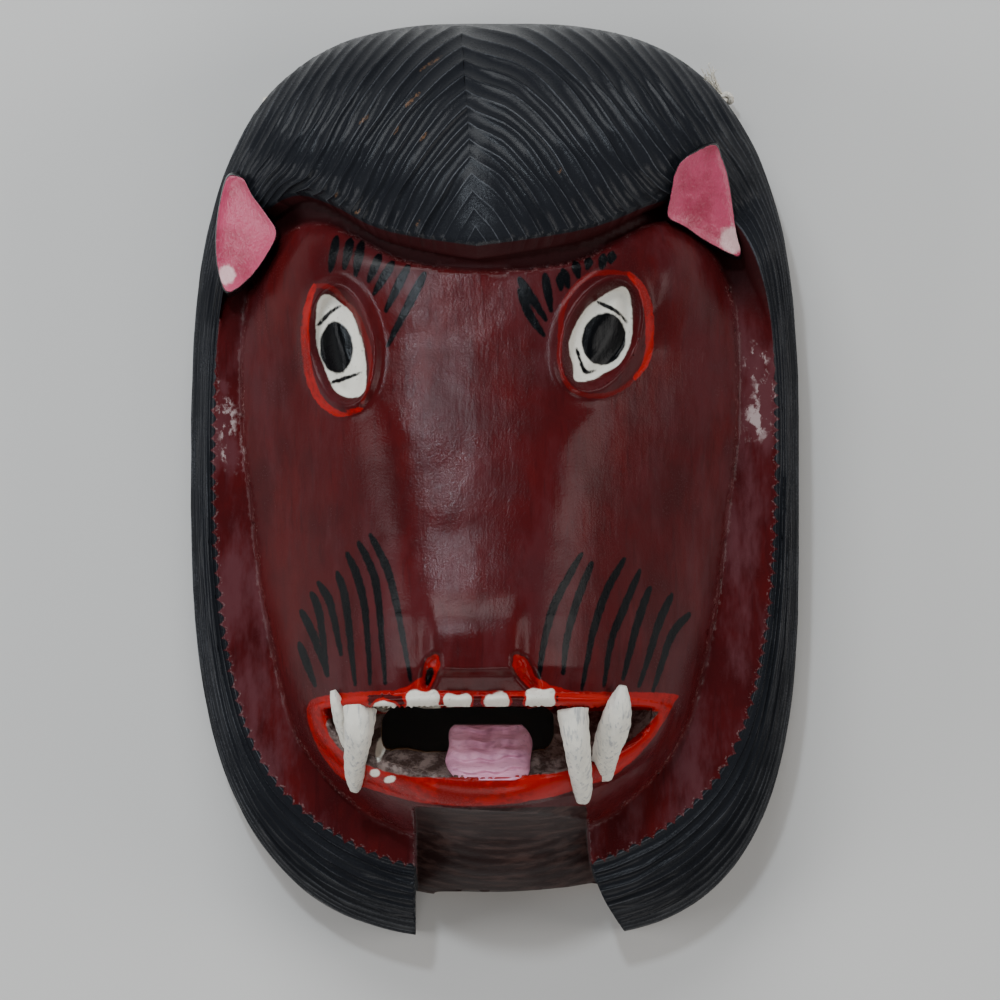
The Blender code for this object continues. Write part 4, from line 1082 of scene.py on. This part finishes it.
drawing = {
    "brows": (
        ((-156, 241), (-162, 207)), ((-142, 239), (-148, 210)), ((-131, 236), (-137, 203)),
        ((-113, 223), (-124, 197)), ((-100, 216), (-119, 184)), ((-85, 212), (-107, 168)),
        ((-69, 204), (-83, 177), (-105, 134)), ((116, 225), (114, 216)), ((107, 223), (105, 210)),
        ((93, 219), (91, 210)), ((79, 216), (82, 201)), ((67, 208), (72, 191)),
        ((64, 203), (65, 189)), ((49, 203), (55, 168)), ((24, 199), (37, 179), (50, 159)),
        ((24, 189), (34, 164), (48, 144)),
    ),
    "whiskers": (
        ((-122, -51), (-106, -82), (-96, -118), (-82, -192)),
        ((-134, -58), (-119, -88), (-113, -124), (-107, -195)),
        ((-145, -69), (-134, -94), (-126, -132), (-122, -196)),
        ((-155, -88), (-146, -118), (-137, -197)), ((-174, -98), (-161, -121), (-151, -168)),
        ((-181, -108), (-173, -130), (-165, -188)), ((-192, -126), (-180, -148), (-165, -189)),
        ((-193, -158), (-178, -199)), ((85, -69), (60, -114), (49, -150), (43, -189)),
        ((95, -78), (83, -108), (71, -148), (67, -185)),
        ((127, -75), (109, -107), (96, -147), (85, -201)),
        ((143, -86), (127, -122), (115, -151), (107, -198)),
        ((153, -103), (140, -138), (126, -192)), ((175, -110), (161, -141), (142, -199)),
        ((193, -129), (174, -152), (156, -204)),
    ),
    "eyeLines": (
        ((-175, 153), (-164, 165), (-152, 173)), ((-162, 98), (-150, 101), (-130, 108)),
        ((100, 177), (114, 171), (124, 164), (131, 156)), ((80, 132), (88, 109), (99, 110)),
    ),
    "pupils": ((-156, 132, 16.5, 25.5, 4), (107, 140.5, 21.5, 26, -14)),
    "whites": (
        ((-164, 184), (-151, 175), (-141, 165), (-134, 148), (-130, 135), (-127, 115), (-127, 92),
         (-134, 84), (-146, 84), (-156, 89), (-163, 101), (-173, 127), (-176, 142), (-176, 161),
         (-173, 179)),
        ((128, 191), (134, 174), (135, 155), (133, 136), (123, 117), (107, 107), (93, 100),
         (79, 100), (77, 113), (73, 133), (77, 149), (88, 168), (100, 178), (112, 186)),
    ),
    "whiteSpots": ((-113, -261, 4.5, 11, -10), (-118, -284, 5, 4, 0), (-103, -290, 5.5, 3.5, 15)),
    "rims": (  # the bright red strokes round the eyes
        ((-178, 193), (-186, 165), (-187, 134), (-183, 104), (-172, 80), (-153, 67), (-131, 72)),
        ((132, 204), (144, 190), (151, 170), (153, 146), (150, 120), (138, 102)),
    ),
    "faintRims": (
        ((-178, 193), (-160, 190), (-146, 174), (-134, 159), (-124, 130), (-122, 104), (-130, 78)),
        ((134, 204), (110, 206), (92, 202), (76, 188), (66, 168), (64, 140), (64, 112), (76, 90),
         (100, 84), (122, 90), (138, 102)),
    ),
    "rimWidth": (4.6, 2.0), "faintWidth": (2.8, 1.8), "nostrilWidth": (7.5, 4.0),
    "nostrilRuns": (((-68, -192), (-78, -202), (-96, -206)), ((40, -194), (50, -203), (70, -205))),
    # The ellipses on the next two lines are painted highlights on the band.
    "bandGlints": ((260, 118, 14, 22), (262, 64, 15, 24), (270, 90, 12, 18), (-268, 62, 13, 26),
                 (-262, 30, 13, 20), (-270, 96, 8, 10)),
    "lipOuter": ((-187, -223), (-165, -208), (-95, -202), (5, -202), (105, -204), (177, -208),
                 (177, -218), (155, -253), (125, -283), (85, -300), (45, -310), (-15, -316),
                 (-75, -313), (-115, -303), (-150, -293), (-175, -263)),
    "lipInner": ((-167, -230), (-95, -224), (5, -221), (105, -222), (162, -222), (160, -233),
                 (125, -263), (75, -283), (35, -288), (-45, -290), (-95, -288), (-150, -268)),
    "scrapes": (
        ((-75, 405), (-48, 424)), ((-123, 362), (-135, 350)), ((-90, 366), (-72, 386)),
        ((-75, 332), (-64, 346)), ((-158, 279), (-152, 286)), ((-138, 262), (-132, 268)),
        ((-78, 250), (-74, 257)), ((-100, 340), (-92, 352)), ((60, 300), (68, 310)),
    ),
    "browWidth": (4.6, 2.2), "whiskerWidth": (4.2, 2.0), "lineWidth": (2.0, 0.9),
    "scrapeWidth": (2.4, 0.8),
}


def strokeField(x, y, strokes, widths):
    # widest a third of the way along, thin at both ends
    best = np.full(len(x), -99.0)
    for stroke in strokes:
        line = smoothCurve(stroke, 4)
        distance, number, share = segmentDistance(x, y, line[:-1], line[1:])
        along = (number + share) / (len(line) - 1)
        half = widths[1] + (widths[0] - widths[1]) * np.sin(np.pi * along ** 0.7)
        best = np.maximum(best, half - distance)
    return best


def ellipseField(x, y, ellipse):
    x0, y0, halfWidth, halfHeight, lean = ellipse
    turn = math.radians(lean)
    across = (x - x0) * math.cos(turn) + (y - y0) * math.sin(turn)
    along = (y - y0) * math.cos(turn) - (x - x0) * math.sin(turn)
    return (1 - np.hypot(across / halfWidth, along / halfHeight)) * min(halfWidth, halfHeight)


def storeField(mesh, name, values):
    field = mesh.attributes.new(name, "FLOAT", "POINT")
    field.data.foreach_set("value", np.asarray(values, np.float32))


def borderLoop():
    turns = np.linspace(180, 0, 181)
    left = np.array(borderAt(turns, -1)).T
    right = np.array(borderAt(turns[::-1], 1)).T
    return np.concatenate([left, right[1:-1]])


def drawPaint(mesh):
    x, y = onSheet(vertexPoints(mesh).astype(float))
    strokes = np.maximum(strokeField(x, y, drawing["brows"], drawing["browWidth"]),
                         strokeField(x, y, drawing["whiskers"], drawing["whiskerWidth"]))
    strokes = np.maximum(strokes, strokeField(x, y, drawing["eyeLines"], drawing["lineWidth"]))
    for pupil in drawing["pupils"]:
        strokes = np.maximum(strokes, ellipseField(x, y, pupil))
    whites = np.full(len(x), -99.0)
    for shape in drawing["whites"]:
        whites = np.maximum(whites, loopDistance(x, y, smoothCurve(shape, 4, True)))
    for spot in drawing["whiteSpots"]:
        whites = np.maximum(whites, ellipseField(x, y, spot))
    teeth = toothField(x, y) + 0.5
    whites = np.maximum(whites, teeth)
    outer = loopDistance(x, y, smoothCurve(drawing["lipOuter"], 4, True))
    inner = loopDistance(x, y, smoothCurve(drawing["lipInner"], 4, True))
    reds = np.minimum(outer, -inner + 3)
    for name, widths in (("rims", "rimWidth"), ("nostrilRuns", "nostrilWidth")):
        reds = np.maximum(reds, strokeField(x, y, drawing[name], drawing[widths]))
    reds = np.maximum(reds, strokeField(x, y, face["nostrils"], drawing["nostrilWidth"]))
    faint = strokeField(x, y, drawing["faintRims"], drawing["faintWidth"])
    left = face["nostrils"][0]
    strokes = np.maximum(strokes, strokeField(x, y, [left[1:]], (3.6, 2.0)))
    gaps = np.where((y > -226) & (y < -206) & (np.abs(x + 31) < 92), 1.0, 0.0)
    gaps = gaps * smoothStep(-teeth, 1, 4)
    # Painted highlights on the band, strongest at the middle of each ellipse.
    bandGlints = [1 - np.hypot((x - x0) / wide, (y - y0) / high)
                for x0, y0, wide, high in drawing["bandGlints"]]
    loop = borderLoop()
    inside = loopDistance(x, y, loop)
    _, number, share = segmentDistance(x, y, loop, np.roll(loop, -1, 0))
    lengths = np.linalg.norm(np.roll(loop, -1, 0) - loop, axis=1)
    along = np.concatenate([[0], np.cumsum(lengths)])[number] + share * lengths[number]
    hairs = 1.5 * smoothStep(y, 140, 225) - inside
    scrapes = strokeField(x, y, drawing["scrapes"], drawing["scrapeWidth"])
    offPlate = -loopDistance(x, y, fineFaceLoop)
    # Painted shade in the sunken strip under the hair, above the face.
    recessShade = smoothStep(y, 150, 215) * smoothStep(offPlate, -1, 4)
    right = np.interp(y, rightCut[:, 0], rightCut[:, 1])
    inGap = np.minimum(x - board["leftCut"], right - x)
    chin = smoothStep(inGap, 0, 2) * smoothStep(-y, 314, 322)
    hairs = np.where((inGap > 0.6) & (y < -300), -12, hairs)
    # Near the face plate's edge: painted highlight and rubbed paint; none on the chin.
    wearAndEdgeHighlight = np.where(chin > 0, -1, 1 - np.abs(offPlate) / 6)
    fields = {
        "chin": chin, "faint": faint, "gaps": gaps, "bandGlints": np.max(bandGlints, 0),
        # The band field sets where the painted sheen is stronger.
        "band": smoothStep(offPlate, 0, 4) * (1 - smoothStep(y, 130, 190)),
        "scallops": 1 - smoothStep(y, 60, 150), "crests": hairCrests(mesh), "strokes": strokes,
        "whites": whites, "reds": reds, "jaw": np.minimum(inner, 3),
        "hairs": np.clip(hairs, -20, 20), "alongBorder": along, "wearAndEdgeHighlight": wearAndEdgeHighlight, "scrapes": scrapes,
        "recessShade": recessShade,
    }
    for name, values in fields.items():
        storeField(mesh, name, values)


# Geometry trees and the tool marks

def geometryTree(name, numbers):
    tree = bpy.data.node_groups.new(name, "GeometryNodeTree")
    tree.interface.new_socket("Geometry", in_out="INPUT", socket_type="NodeSocketGeometry")
    tree.interface.new_socket("Geometry", in_out="OUTPUT", socket_type="NodeSocketGeometry")
    for title in numbers:
        tree.interface.new_socket(title, in_out="INPUT", socket_type="NodeSocketFloat")
    maker = Maker(tree)
    entry = tree.nodes.new("NodeGroupInput")
    wires = {socket.name: Wire(maker, socket) for socket in entry.outputs if socket.name}
    leaving = tree.nodes.new("NodeGroupOutput")
    return tree, maker, wires, leaving


def grown(obj, tree, values):
    # runs a geometry tree on an object and keeps the result as its plain mesh
    modifier = obj.modifiers.new(tree.name, "NODES")
    modifier.node_group = tree
    for item in tree.interface.items_tree:
        if item.in_out == "INPUT" and item.name in values:
            modifier[item.identifier] = values[item.name]
    if obj.name not in bpy.context.scene.collection.objects:
        bpy.context.scene.collection.objects.link(obj)
    graph = bpy.context.evaluated_depsgraph_get()
    graph.update()
    made = bpy.data.meshes.new_from_object(obj.evaluated_get(graph))
    obj.modifiers.remove(modifier)
    obj.data = made
    return obj


toolMarks = {"Facet Size": 62.0, "Facet Depth": 0.0007, "Gouge Size": 75.0, "Gouge Depth": 0.0011}


def toolMarkTree(coat, bare):
    tree, maker, wires, leaving = geometryTree("toolMarks", list(toolMarks))
    position = maker.add("GeometryNodeInputPosition")
    normal = maker.add("GeometryNodeInputNormal")
    bareFace, chosen = (
        maker.add("GeometryNodeInputNamedAttribute", {"data_type": kind}, {"Name": name})
        for kind, name in (("FLOAT", "bare"), ("BOOLEAN", "bareFace")))
    level = maker.add("ShaderNodeSeparateXYZ", None, {0: position}, "Z")
    offFloor = maker.step(level, 0.0008, 0.004)
    facets = maker.noise(position, wires["Facet Size"], 1.5)
    scoops = maker.add("ShaderNodeTexVoronoi", {"feature": "SMOOTH_F1"},
                       {"Vector": maker.scaled(position, (1.0, 0.55, 1.0)),
                        "Scale": wires["Gouge Size"], "Smoothness": 0.25}, "Distance")
    carving = (facets - 0.62) * wires["Facet Depth"] * (1 - bareFace)
    carving = carving + (scoops - 0.8) * wires["Gouge Depth"] * bareFace
    offset = maker.add("ShaderNodeVectorMath", {"operation": "SCALE"},
                       {0: normal, "Scale": carving * offFloor})
    moved = maker.add("GeometryNodeSetPosition", None,
                      {"Geometry": wires["Geometry"], "Offset": offset})
    real = maker.add("GeometryNodeRealizeInstances", None, {0: moved})
    painted = maker.add("GeometryNodeSetMaterial", None, {"Geometry": real, "Material": coat})
    done = maker.add("GeometryNodeSetMaterial", None,
                     {"Geometry": painted, "Selection": chosen, "Material": bare})
    tree.links.new(done.socket, leaving.inputs[0])
    return tree


# Pieces: mask body, ears, fangs and tongue

def pieceReady(obj, material):
    if obj.name not in bpy.context.scene.collection.objects:
        bpy.context.scene.collection.objects.link(obj)
    if material is not None:
        obj.data.materials.clear()
        obj.data.materials.append(material)
    obj.data.polygons.foreach_set("use_smooth", [True] * len(obj.data.polygons))
    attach(obj, "root")
    return obj


def makeMaskBody():
    coat, bare = paintedWood(), bareWood()
    block = makeBlock()
    block.data.materials.append(coat)
    bpy.context.scene.collection.objects.link(block)
    print("block", len(block.data.polygons), "faces")
    gap = makeChinGap()
    gap.data.materials.append(coat)
    carve(block, [gap])
    tree = BVHTree.FromPolygons(
        [vert.co for vert in block.data.vertices],
        [tuple(face.vertices) for face in block.data.polygons
         if max(block.data.vertices[index].co.z for index in face.vertices) > 1e-6])
    cutters = [makeHollow(tree), makeSlot(), makeArch(), makeHole(-1), makeHole(1)]
    for cutter in cutters:
        cutter.data.materials.append(bare)
    carve(block, cutters)
    print("carved", len(block.data.polygons), "faces")
    mesh = block.data
    bareSlots = [index for index, item in enumerate(mesh.materials) if item == bare]
    slots = np.zeros(len(mesh.polygons), np.int32)
    mesh.polygons.foreach_get("material_index", slots)
    flat = np.array([face.normal.z < -0.9 and face.center.z < 0.0002 for face in mesh.polygons])
    bareFaces = np.isin(slots, bareSlots) | flat
    field = mesh.attributes.new("bareFace", "BOOLEAN", "FACE")
    field.data.foreach_set("value", bareFaces)
    bareness = np.ones(len(mesh.vertices))
    for face, isBare in zip(mesh.polygons, bareFaces):
        if not isBare:
            bareness[list(face.vertices)] = 0
    storeField(mesh, "bare", bareness)
    drawPaint(mesh)
    grown(block, toolMarkTree(coat, bare), toolMarks)
    keepInBox(block.data, *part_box("mask"))
    pieceReady(block, None)
    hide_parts("mask")
    return block, tree


ears = {
    "left": ((-265, 302), (-250, 300), (-240, 283), (-226, 264), (-216, 246), (-224, 227),
             (-242, 203), (-265, 188), (-275, 212), (-277, 244), (-273, 277)),
    "right": ((215, 332), (182, 313), (173, 281), (171, 261), (187, 252), (211, 237), (243, 224),
              (239, 250), (231, 298), (224, 319)),
    "rise": 6.0, "rim": 0.985, "earGlint": ((-266, 205, 11, 9), (236, 240, 16, 12)),
    "rings": ((1.07, -34.0), (1.02, -6.0), (1.005, -1.2), (0.99, 0.0), (0.97, 0.0), (0.94, -0.8),
              (0.86, -2.2), (0.74, -3.4), (0.58, -4.2), (0.4, -4.7), (0.22, -4.9), (0.08, -5.0)),
}


def makeEar(name, tree, material):
    loop = smoothCurve(ears[name], 7, closed=True)
    grounds = []
    for x, y in loop:
        hit = tree.ray_cast(Vector(toWorld(x, y, 2 * board["sheetDepth"])), Vector((0, 0, -1)))[0]
        grounds.append(hit.z / unit[2])
    terms = np.column_stack([loop, np.ones(len(loop))])
    slope = np.linalg.lstsq(terms, np.array(grounds), rcond=None)[0]
    clear = (np.array(grounds) - terms @ slope).max() + ears["rise"]
    middle = loop.mean(0)
    rings, border = [], []
    for share, lift in ears["rings"]:
        spots = middle + (loop - middle) * share
        level = spots @ slope[:2] + slope[2] + clear + lift
        rings.append(toWorld(spots[:, 0], spots[:, 1], level))
        border += [share - ears["rim"]] * len(spots)
    ear = loftSolid("ear" + name.capitalize(), rings)
    storeField(ear.data, "border", border)
    x, y = onSheet(np.concatenate(rings))
    # Painted highlight spots on each ear, at the listed places.
    earGlint = [np.exp(-((x - x0) ** 2 + (y - y0) ** 2) / (wide * high))
            for x0, y0, wide, high in ears["earGlint"]]
    storeField(ear.data, "earGlint", np.max(earGlint, 0))
    return pieceReady(ear, material)


fangs = {
    "UpperLeft": ((-132, -221, -8, 17), (-134, -243, 10, 15), (-137, -265, 14, 12),
                  (-138, -285, 14, 10), (-138, -300, 12, 6)),
    "UpperRight": ((76, -221, -8, 16), (79, -249, 10, 14), (83, -277, 14, 12),
                   (86, -298, 13, 10), (87, -309, 11, 8)),
    "LowerLeft": ((-140, -270, -16, 8), (-145, -250, -6, 8), (-151, -230, 2, 8),
                  (-156, -213, 8, 6), (-159, -203, 9, 3)),
    "LowerRight": ((106, -284, -14, 12), (110, -262, 6, 14), (117, -238, 14, 16),
                   (122, -215, 18, 12), (125, -198, 20, 4)),
}
whittling = {"sides": 22, "flats": 5, "flatDepth": 0.10, "nicks": 0.05}


def makeFang(name, material):
    curve = smoothCurve(fangs[name], 8)
    middles = toWorld(curve[:, 0], curve[:, 1], plateHeight(curve[:, 0], curve[:, 1]) + curve[:, 2])
    run = np.gradient(middles, axis=0)
    run /= np.linalg.norm(run, axis=1)[:, None]
    across = np.cross(run, (0, 0, 1.0))
    across /= np.linalg.norm(across, axis=1)[:, None]
    up = np.cross(across, run)
    angles = 2 * np.pi * np.arange(whittling["sides"]) / whittling["sides"]
    rings = []
    for index, middle in enumerate(middles):
        lean = 0.4 + 0.9 * math.sin(0.23 * index + len(name))
        flats = np.abs(np.sin(whittling["flats"] / 2 * angles + lean))
        nicks = np.sin(3 * angles + 0.9 * index) * np.sin(0.7 * index + 2 * angles)
        facets = 1 - whittling["flatDepth"] * (1 - flats) + whittling["nicks"] * nicks
        radius = curve[index, 3] * unit[0] * facets
        rings.append(middle + across[index] * (radius * np.cos(angles))[:, None]
                     + up[index] * (radius * np.sin(angles))[:, None])
    fang = loftSolid("fang" + name, rings)
    storeField(fang.data, "border", [-1] * len(fang.data.vertices))
    return pieceReady(fang, material)


tongue = {
    "plan": (-47.0, 36.0, -290.0, -238.0), "rise": 24.0, "root": 14.0, "lift": 10.0, "corner": 9.0,
    "ridges": 4, "ridgeDepth": 3.0, "fineRidges": 9, "fineDepth": 1.6,
    "bump": (38.0, -252.0, 7.0, 5.0),
}


def makeTongue(material):
    left, right, front, back = tongue["plan"]

    def rowXs(y):
        inset = tongue["corner"] * abs(2 * (y - front) / (back - front) - 1) ** 4
        bulge = 1.8 * math.sin(0.19 * y)
        return np.linspace(left + inset + bulge, right - inset + 0.6 * bulge, 44)

    def under(x, y):
        return mouthFloor(x, y) - tongue["root"]

    def top(x, y):
        share = (y - front) / (back - front)
        across = (2 * x - left - right) / (right - left)
        roundSide = np.maximum(1 - np.minimum(np.abs(across), 1) ** 4, 0) ** 0.5
        sway = 0.05 * np.cos(across * 2.1 + 0.5) + 0.02 * np.sin(0.22 * x + 5 * share)
        ridge = tongue["ridgeDepth"] * np.cos(2 * np.pi * tongue["ridges"] * (share + sway))
        fine = np.abs(np.sin(np.pi * tongue["fineRidges"] * (share + 1.4 * sway)))
        fine = tongue["fineDepth"] * fine
        x0, y0, wide, rise = tongue["bump"]
        bump = rise * np.exp(-((x - x0 + 6) ** 2 + (y - y0) ** 2) / wide ** 2)
        return (mouthFloor(x, y) + (tongue["rise"] + ridge - fine + bump) * roundSide
                + tongue["lift"] * (share - 0.4))

    solid = gridSolid("tongue", rowXs, np.linspace(front, back, 80), top, under)
    storeField(solid.data, "border", [-1] * len(solid.data.vertices))
    return pieceReady(solid, material)


# Hanging twine: through both holes and across the hollow, with a knot at each end

twine = {
    "route": (
        (0.0666, 0.1135, 0.0085), (0.0643, 0.1115, 0.0085), (0.0613, 0.109, 0.0085),
        (0.0581, 0.1063, 0.0085), (0.0551, 0.1038, 0.0085), (0.0522, 0.1013, 0.0078),
        (0.0485, 0.0989, 0.0058), (0.0441, 0.0965, 0.0034), (0.0385, 0.0939, 0.0018),
        (0.031, 0.0917, 0.0015), (0.0218, 0.0905, 0.0015), (0.0114, 0.0907, 0.0015),
        (0.001, 0.0925, 0.0015), (-0.0093, 0.0947, 0.0015), (-0.0197, 0.0961, 0.0015),
        (-0.0295, 0.0961, 0.0015), (-0.0372, 0.0955, 0.0018), (-0.0437, 0.0961, 0.0034),
        (-0.0485, 0.0987, 0.0058), (-0.0522, 0.1013, 0.0078), (-0.0551, 0.1038, 0.0085),
        (-0.0581, 0.1063, 0.0085), (-0.0613, 0.109, 0.0085), (-0.0643, 0.1115, 0.0085),
        (-0.0659, 0.1128, 0.0085),
    ),
    "diameter": 0.0026, "length": 0.148, "twistsPerMetre": 125.0, "lobeDepth": 0.2,
    "knots": {"Left": (-0.0681, 0.1147, 0.0085, 0.0015), "Right": (0.0692, 0.1157, 0.0085, 0.0023)},
    "tail": ((0.0692, 0.1157, 0.0085), (0.0670, 0.1180, 0.0097), (0.0646, 0.1212, 0.0107),
             (0.0632, 0.1246, 0.0115)),
    "knotRope": {"Left": 0.00085, "Right": 0.00095}, "tailFibres": 60, "tailSpread": 0.0021,
    "tailCurl": 0.00035, "tailStart": 0.0004, "tailFibre": 0.00016, "fuzz": 320,
    "fuzzReach": 0.0017, "fuzzInside": 0.0004, "fibre": 0.00011, "boxMargin": 0.00002, "seed": 5,
}
sweepInputs = ("Radius", "Lobe Depth", "Twist", "Step", "Sides", "Tip")


def lineObject(name, lines):
    points, edges = [], []
    for line in lines:
        edges += [(len(points) + at, len(points) + at + 1) for at in range(len(line) - 1)]
        points += [tuple(point) for point in line]
    mesh = bpy.data.meshes.new(name)
    mesh.from_pydata(points, edges, [])
    return bpy.data.objects.new(name, mesh)


def sweptTree(name, material, lobes):
    # sweeps a round or lobed section along every line of the object, twisted or tapered
    tree, maker, wires, leaving = geometryTree(name, sweepInputs)
    curve = maker.add("GeometryNodeMeshToCurve", None, {0: wires["Geometry"]})
    curve = maker.add("GeometryNodeResampleCurve", {"mode": "LENGTH"},
                      {"Curve": curve, "Length": wires["Step"]})
    along = maker.add("GeometryNodeSplineParameter", None, None, "Length")
    share = maker.add("GeometryNodeSplineParameter", None, None, "Factor")
    curve = maker.add("GeometryNodeSetCurveTilt", None,
                      {"Curve": curve, "Tilt": along * wires["Twist"]})
    curve = maker.add("GeometryNodeSetCurveRadius", None,
                      {"Curve": curve, "Radius": 1 - share * (1 - wires["Tip"])})
    section = maker.add("GeometryNodeCurvePrimitiveCircle", None,
                        {"Resolution": wires["Sides"], "Radius": wires["Radius"]})
    spot = maker.add("GeometryNodeInputPosition")
    x = maker.add("ShaderNodeSeparateXYZ", None, {0: spot}, "X")
    y = maker.add("ShaderNodeSeparateXYZ", None, {0: spot}, "Y")
    angle = y.math("ARCTAN2", y, x)
    grooves = abs((angle * (lobes / 2)).sine()) ** 0.6
    size = 1 - wires["Lobe Depth"] * (1 - grooves)
    lobed = maker.add("ShaderNodeVectorMath", {"operation": "SCALE"}, {0: spot, "Scale": size})
    section = maker.add("GeometryNodeSetPosition", None, {"Geometry": section, "Position": lobed})
    tube = maker.add("GeometryNodeCurveToMesh", None,
                     {"Curve": curve, "Profile Curve": section, "Fill Caps": True})
    real = maker.add("GeometryNodeRealizeInstances", None, {0: tube})
    done = maker.add("GeometryNodeSetMaterial", None, {"Geometry": real, "Material": material})
    tree.links.new(done.socket, leaving.inputs[0])
    return tree


def knotLine(middle, reach):
    turn = np.linspace(0, 2 * np.pi, 90)[:-1]
    x = np.sin(turn) + 2 * np.sin(2 * turn)
    y = np.cos(turn) - 2 * np.cos(2 * turn)
    z = -1.4 * np.sin(3 * turn)
    return np.array(middle) + np.stack([x, z, y], 1) / 3 * reach


def tailLines(random):
    spine = smoothCurve(twine["tail"], 4)
    lines = []
    for _ in range(twine["tailFibres"]):
        drift = random.normal(0, twine["tailSpread"], 3)
        share = (np.linspace(0, 1, len(spine)) ** 1.6)[:, None]
        curl = random.normal(0, twine["tailCurl"], (len(spine), 3)) * share
        count = random.integers(int(0.6 * len(spine)), len(spine) + 1)
        start = random.normal(0, twine["tailStart"], 3)
        lines.append((spine + start + drift * share + curl)[:count])
    return lines


def fuzzLines(route, random):
    lines = []
    for _ in range(twine["fuzz"]):
        at = random.integers(2, len(route) - 3)
        away = random.normal(0, 1, 3)
        away /= np.linalg.norm(away)
        run = route[at + 1] - route[at]
        run /= np.linalg.norm(run)
        start = route[at] + away * 0.4 * twine["diameter"]
        reach = random.uniform(0.4, 1) * (twine["fuzzReach"] - twine["fuzzInside"])
        way = away * 0.6 + run * random.choice((-1, 1)) * random.uniform(0.5, 1.5)
        lines.append([start + way * reach * share + away * reach * 0.3 * share * (1 - share)
                      for share in (0, 0.35, 0.7, 1)])
    return lines


def makeTwine():
    fibre = fibreTwine()
    rope = sweptTree("twistedTwine", fibre, 3)
    thread = sweptTree("fibreTubes", fibre, 2)
    low, high = cadBox
    lobe = twine["lobeDepth"]
    twist = 2 * math.pi * twine["twistsPerMetre"]
    random = np.random.default_rng(twine["seed"])
    route = smoothCurve(twine["route"], 6)
    knots = [(f"knot{side}", [knotLine(spot[:3], spot[3])], rope,
              (twine["knotRope"][side], lobe, twist, 0.0003, 16, 1.0), f"twine_knot_{side.lower()}")
             for side, spot in twine["knots"].items()]
    for name, lines, tree, sizes, node in (
        ("hangingTwine", [route], rope,
         (twine["diameter"] / 2, lobe, twist, 0.0004, 24, 1.0), "hanging_twine"),
        *knots,
        ("frayedTail", tailLines(random), thread,
         (twine["tailFibre"], 0.0, 0.0, 0.0008, 5, 0.5), None),
        ("twineFuzz", fuzzLines(route, random), thread,
         (twine["fibre"], 0.0, 0.0, 0.0006, 4, 0.3), None),
    ):
        piece = grown(lineObject(name, lines), tree, dict(zip(sweepInputs, sizes)))
        keepInBox(piece.data, np.array(low) + twine["boxMargin"], high)
        closeSkin(piece, 1e-7)
        pieceReady(piece, None)
        if node:
            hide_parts(node)


# Stage and light

lights = (  # name, place, size, power, colour
    ("windowLight", (-0.34, 1.0, 1.9), (0.1, 0.14), 13, (0.8, 0.9, 1.0)),
    ("topSoft", (-0.4, 1.7, 1.45), (1.5, 0.7), 36, (0.95, 0.98, 1.0)),
    ("leftFill", (-1.8, -0.1, 0.95), (1.0, 1.0), 17, (0.97, 0.98, 1.0)),
    ("rightFill", (1.8, 0.1, 0.95), (1.0, 1.0), 15, (1.0, 0.97, 0.94)),
    ("lowFill", (0.1, -1.8, 1.05), (1.4, 0.8), 15, (1.0, 0.98, 0.95)),
)
lightAim = (0, 0, 0.05)
floorHalf, floorLevel = 3, -0.0003  # just under the rim, so that the two don't touch


def makeStage():
    corners = [(x * floorHalf, y * floorHalf, floorLevel)
               for x, y in ((-1, -1), (1, -1), (1, 1), (-1, 1))]
    floor = meshObject("floor", corners, [(0, 1, 2, 3)])
    material, _, shader = newFinish("paleFloor", 0.2)
    shader.inputs["Base Color"].default_value = (0.62, 0.61, 0.59, 1)
    shader.inputs["Roughness"].default_value = 0.7
    floor.data.materials.append(material)
    bpy.context.scene.collection.objects.link(floor)
    for name, place, size, power, colour in lights:
        lamp = bpy.data.lights.new(name, "AREA")
        lamp.shape = "RECTANGLE"
        lamp.size, lamp.size_y = size
        lamp.energy = power
        lamp.color = colour
        holder = bpy.data.objects.new(name, lamp)
        holder.location = place
        way = Vector(lightAim) - Vector(place)
        holder.rotation_euler = way.to_track_quat("-Z", "Y").to_euler()
        bpy.context.scene.collection.objects.link(holder)
    world = bpy.data.worlds.new("studio")
    world.use_nodes = True
    background = world.node_tree.nodes["Background"]
    background.inputs["Color"].default_value = (0.80, 0.83, 0.88, 1)
    background.inputs["Strength"].default_value = 0.16
    bpy.context.scene.world = world


makeStage()
makeTwine()
print("twine made")
body, skinTree = makeMaskBody()
print("mask body", len(body.data.polygons), "faces")
pinkPaint = plainPaint("pinkPaint", paint["pink"], paint["pinkDeep"],
                       0.22, (1.0, 0.5, 1.0), 0.25, 60, 0.75)
whitePaint = plainPaint("whitePaint", paint["white"], paint["whiteGrey"],
                        0.42, (1.0, 0.14, 1.0), 0.75, 240, 0.15)
tonguePaint = plainPaint("tonguePaint", paint["tongue"], paint["tongueDeep"],
                         0.34, (0.25, 1.0, 1.0), 0.55, 160, 0.4)
for earName in ("left", "right"):
    makeEar(earName, skinTree, pinkPaint)
for fangName in fangs:
    makeFang(fangName, whitePaint)
makeTongue(tonguePaint)
print("ears, fangs and tongue made")
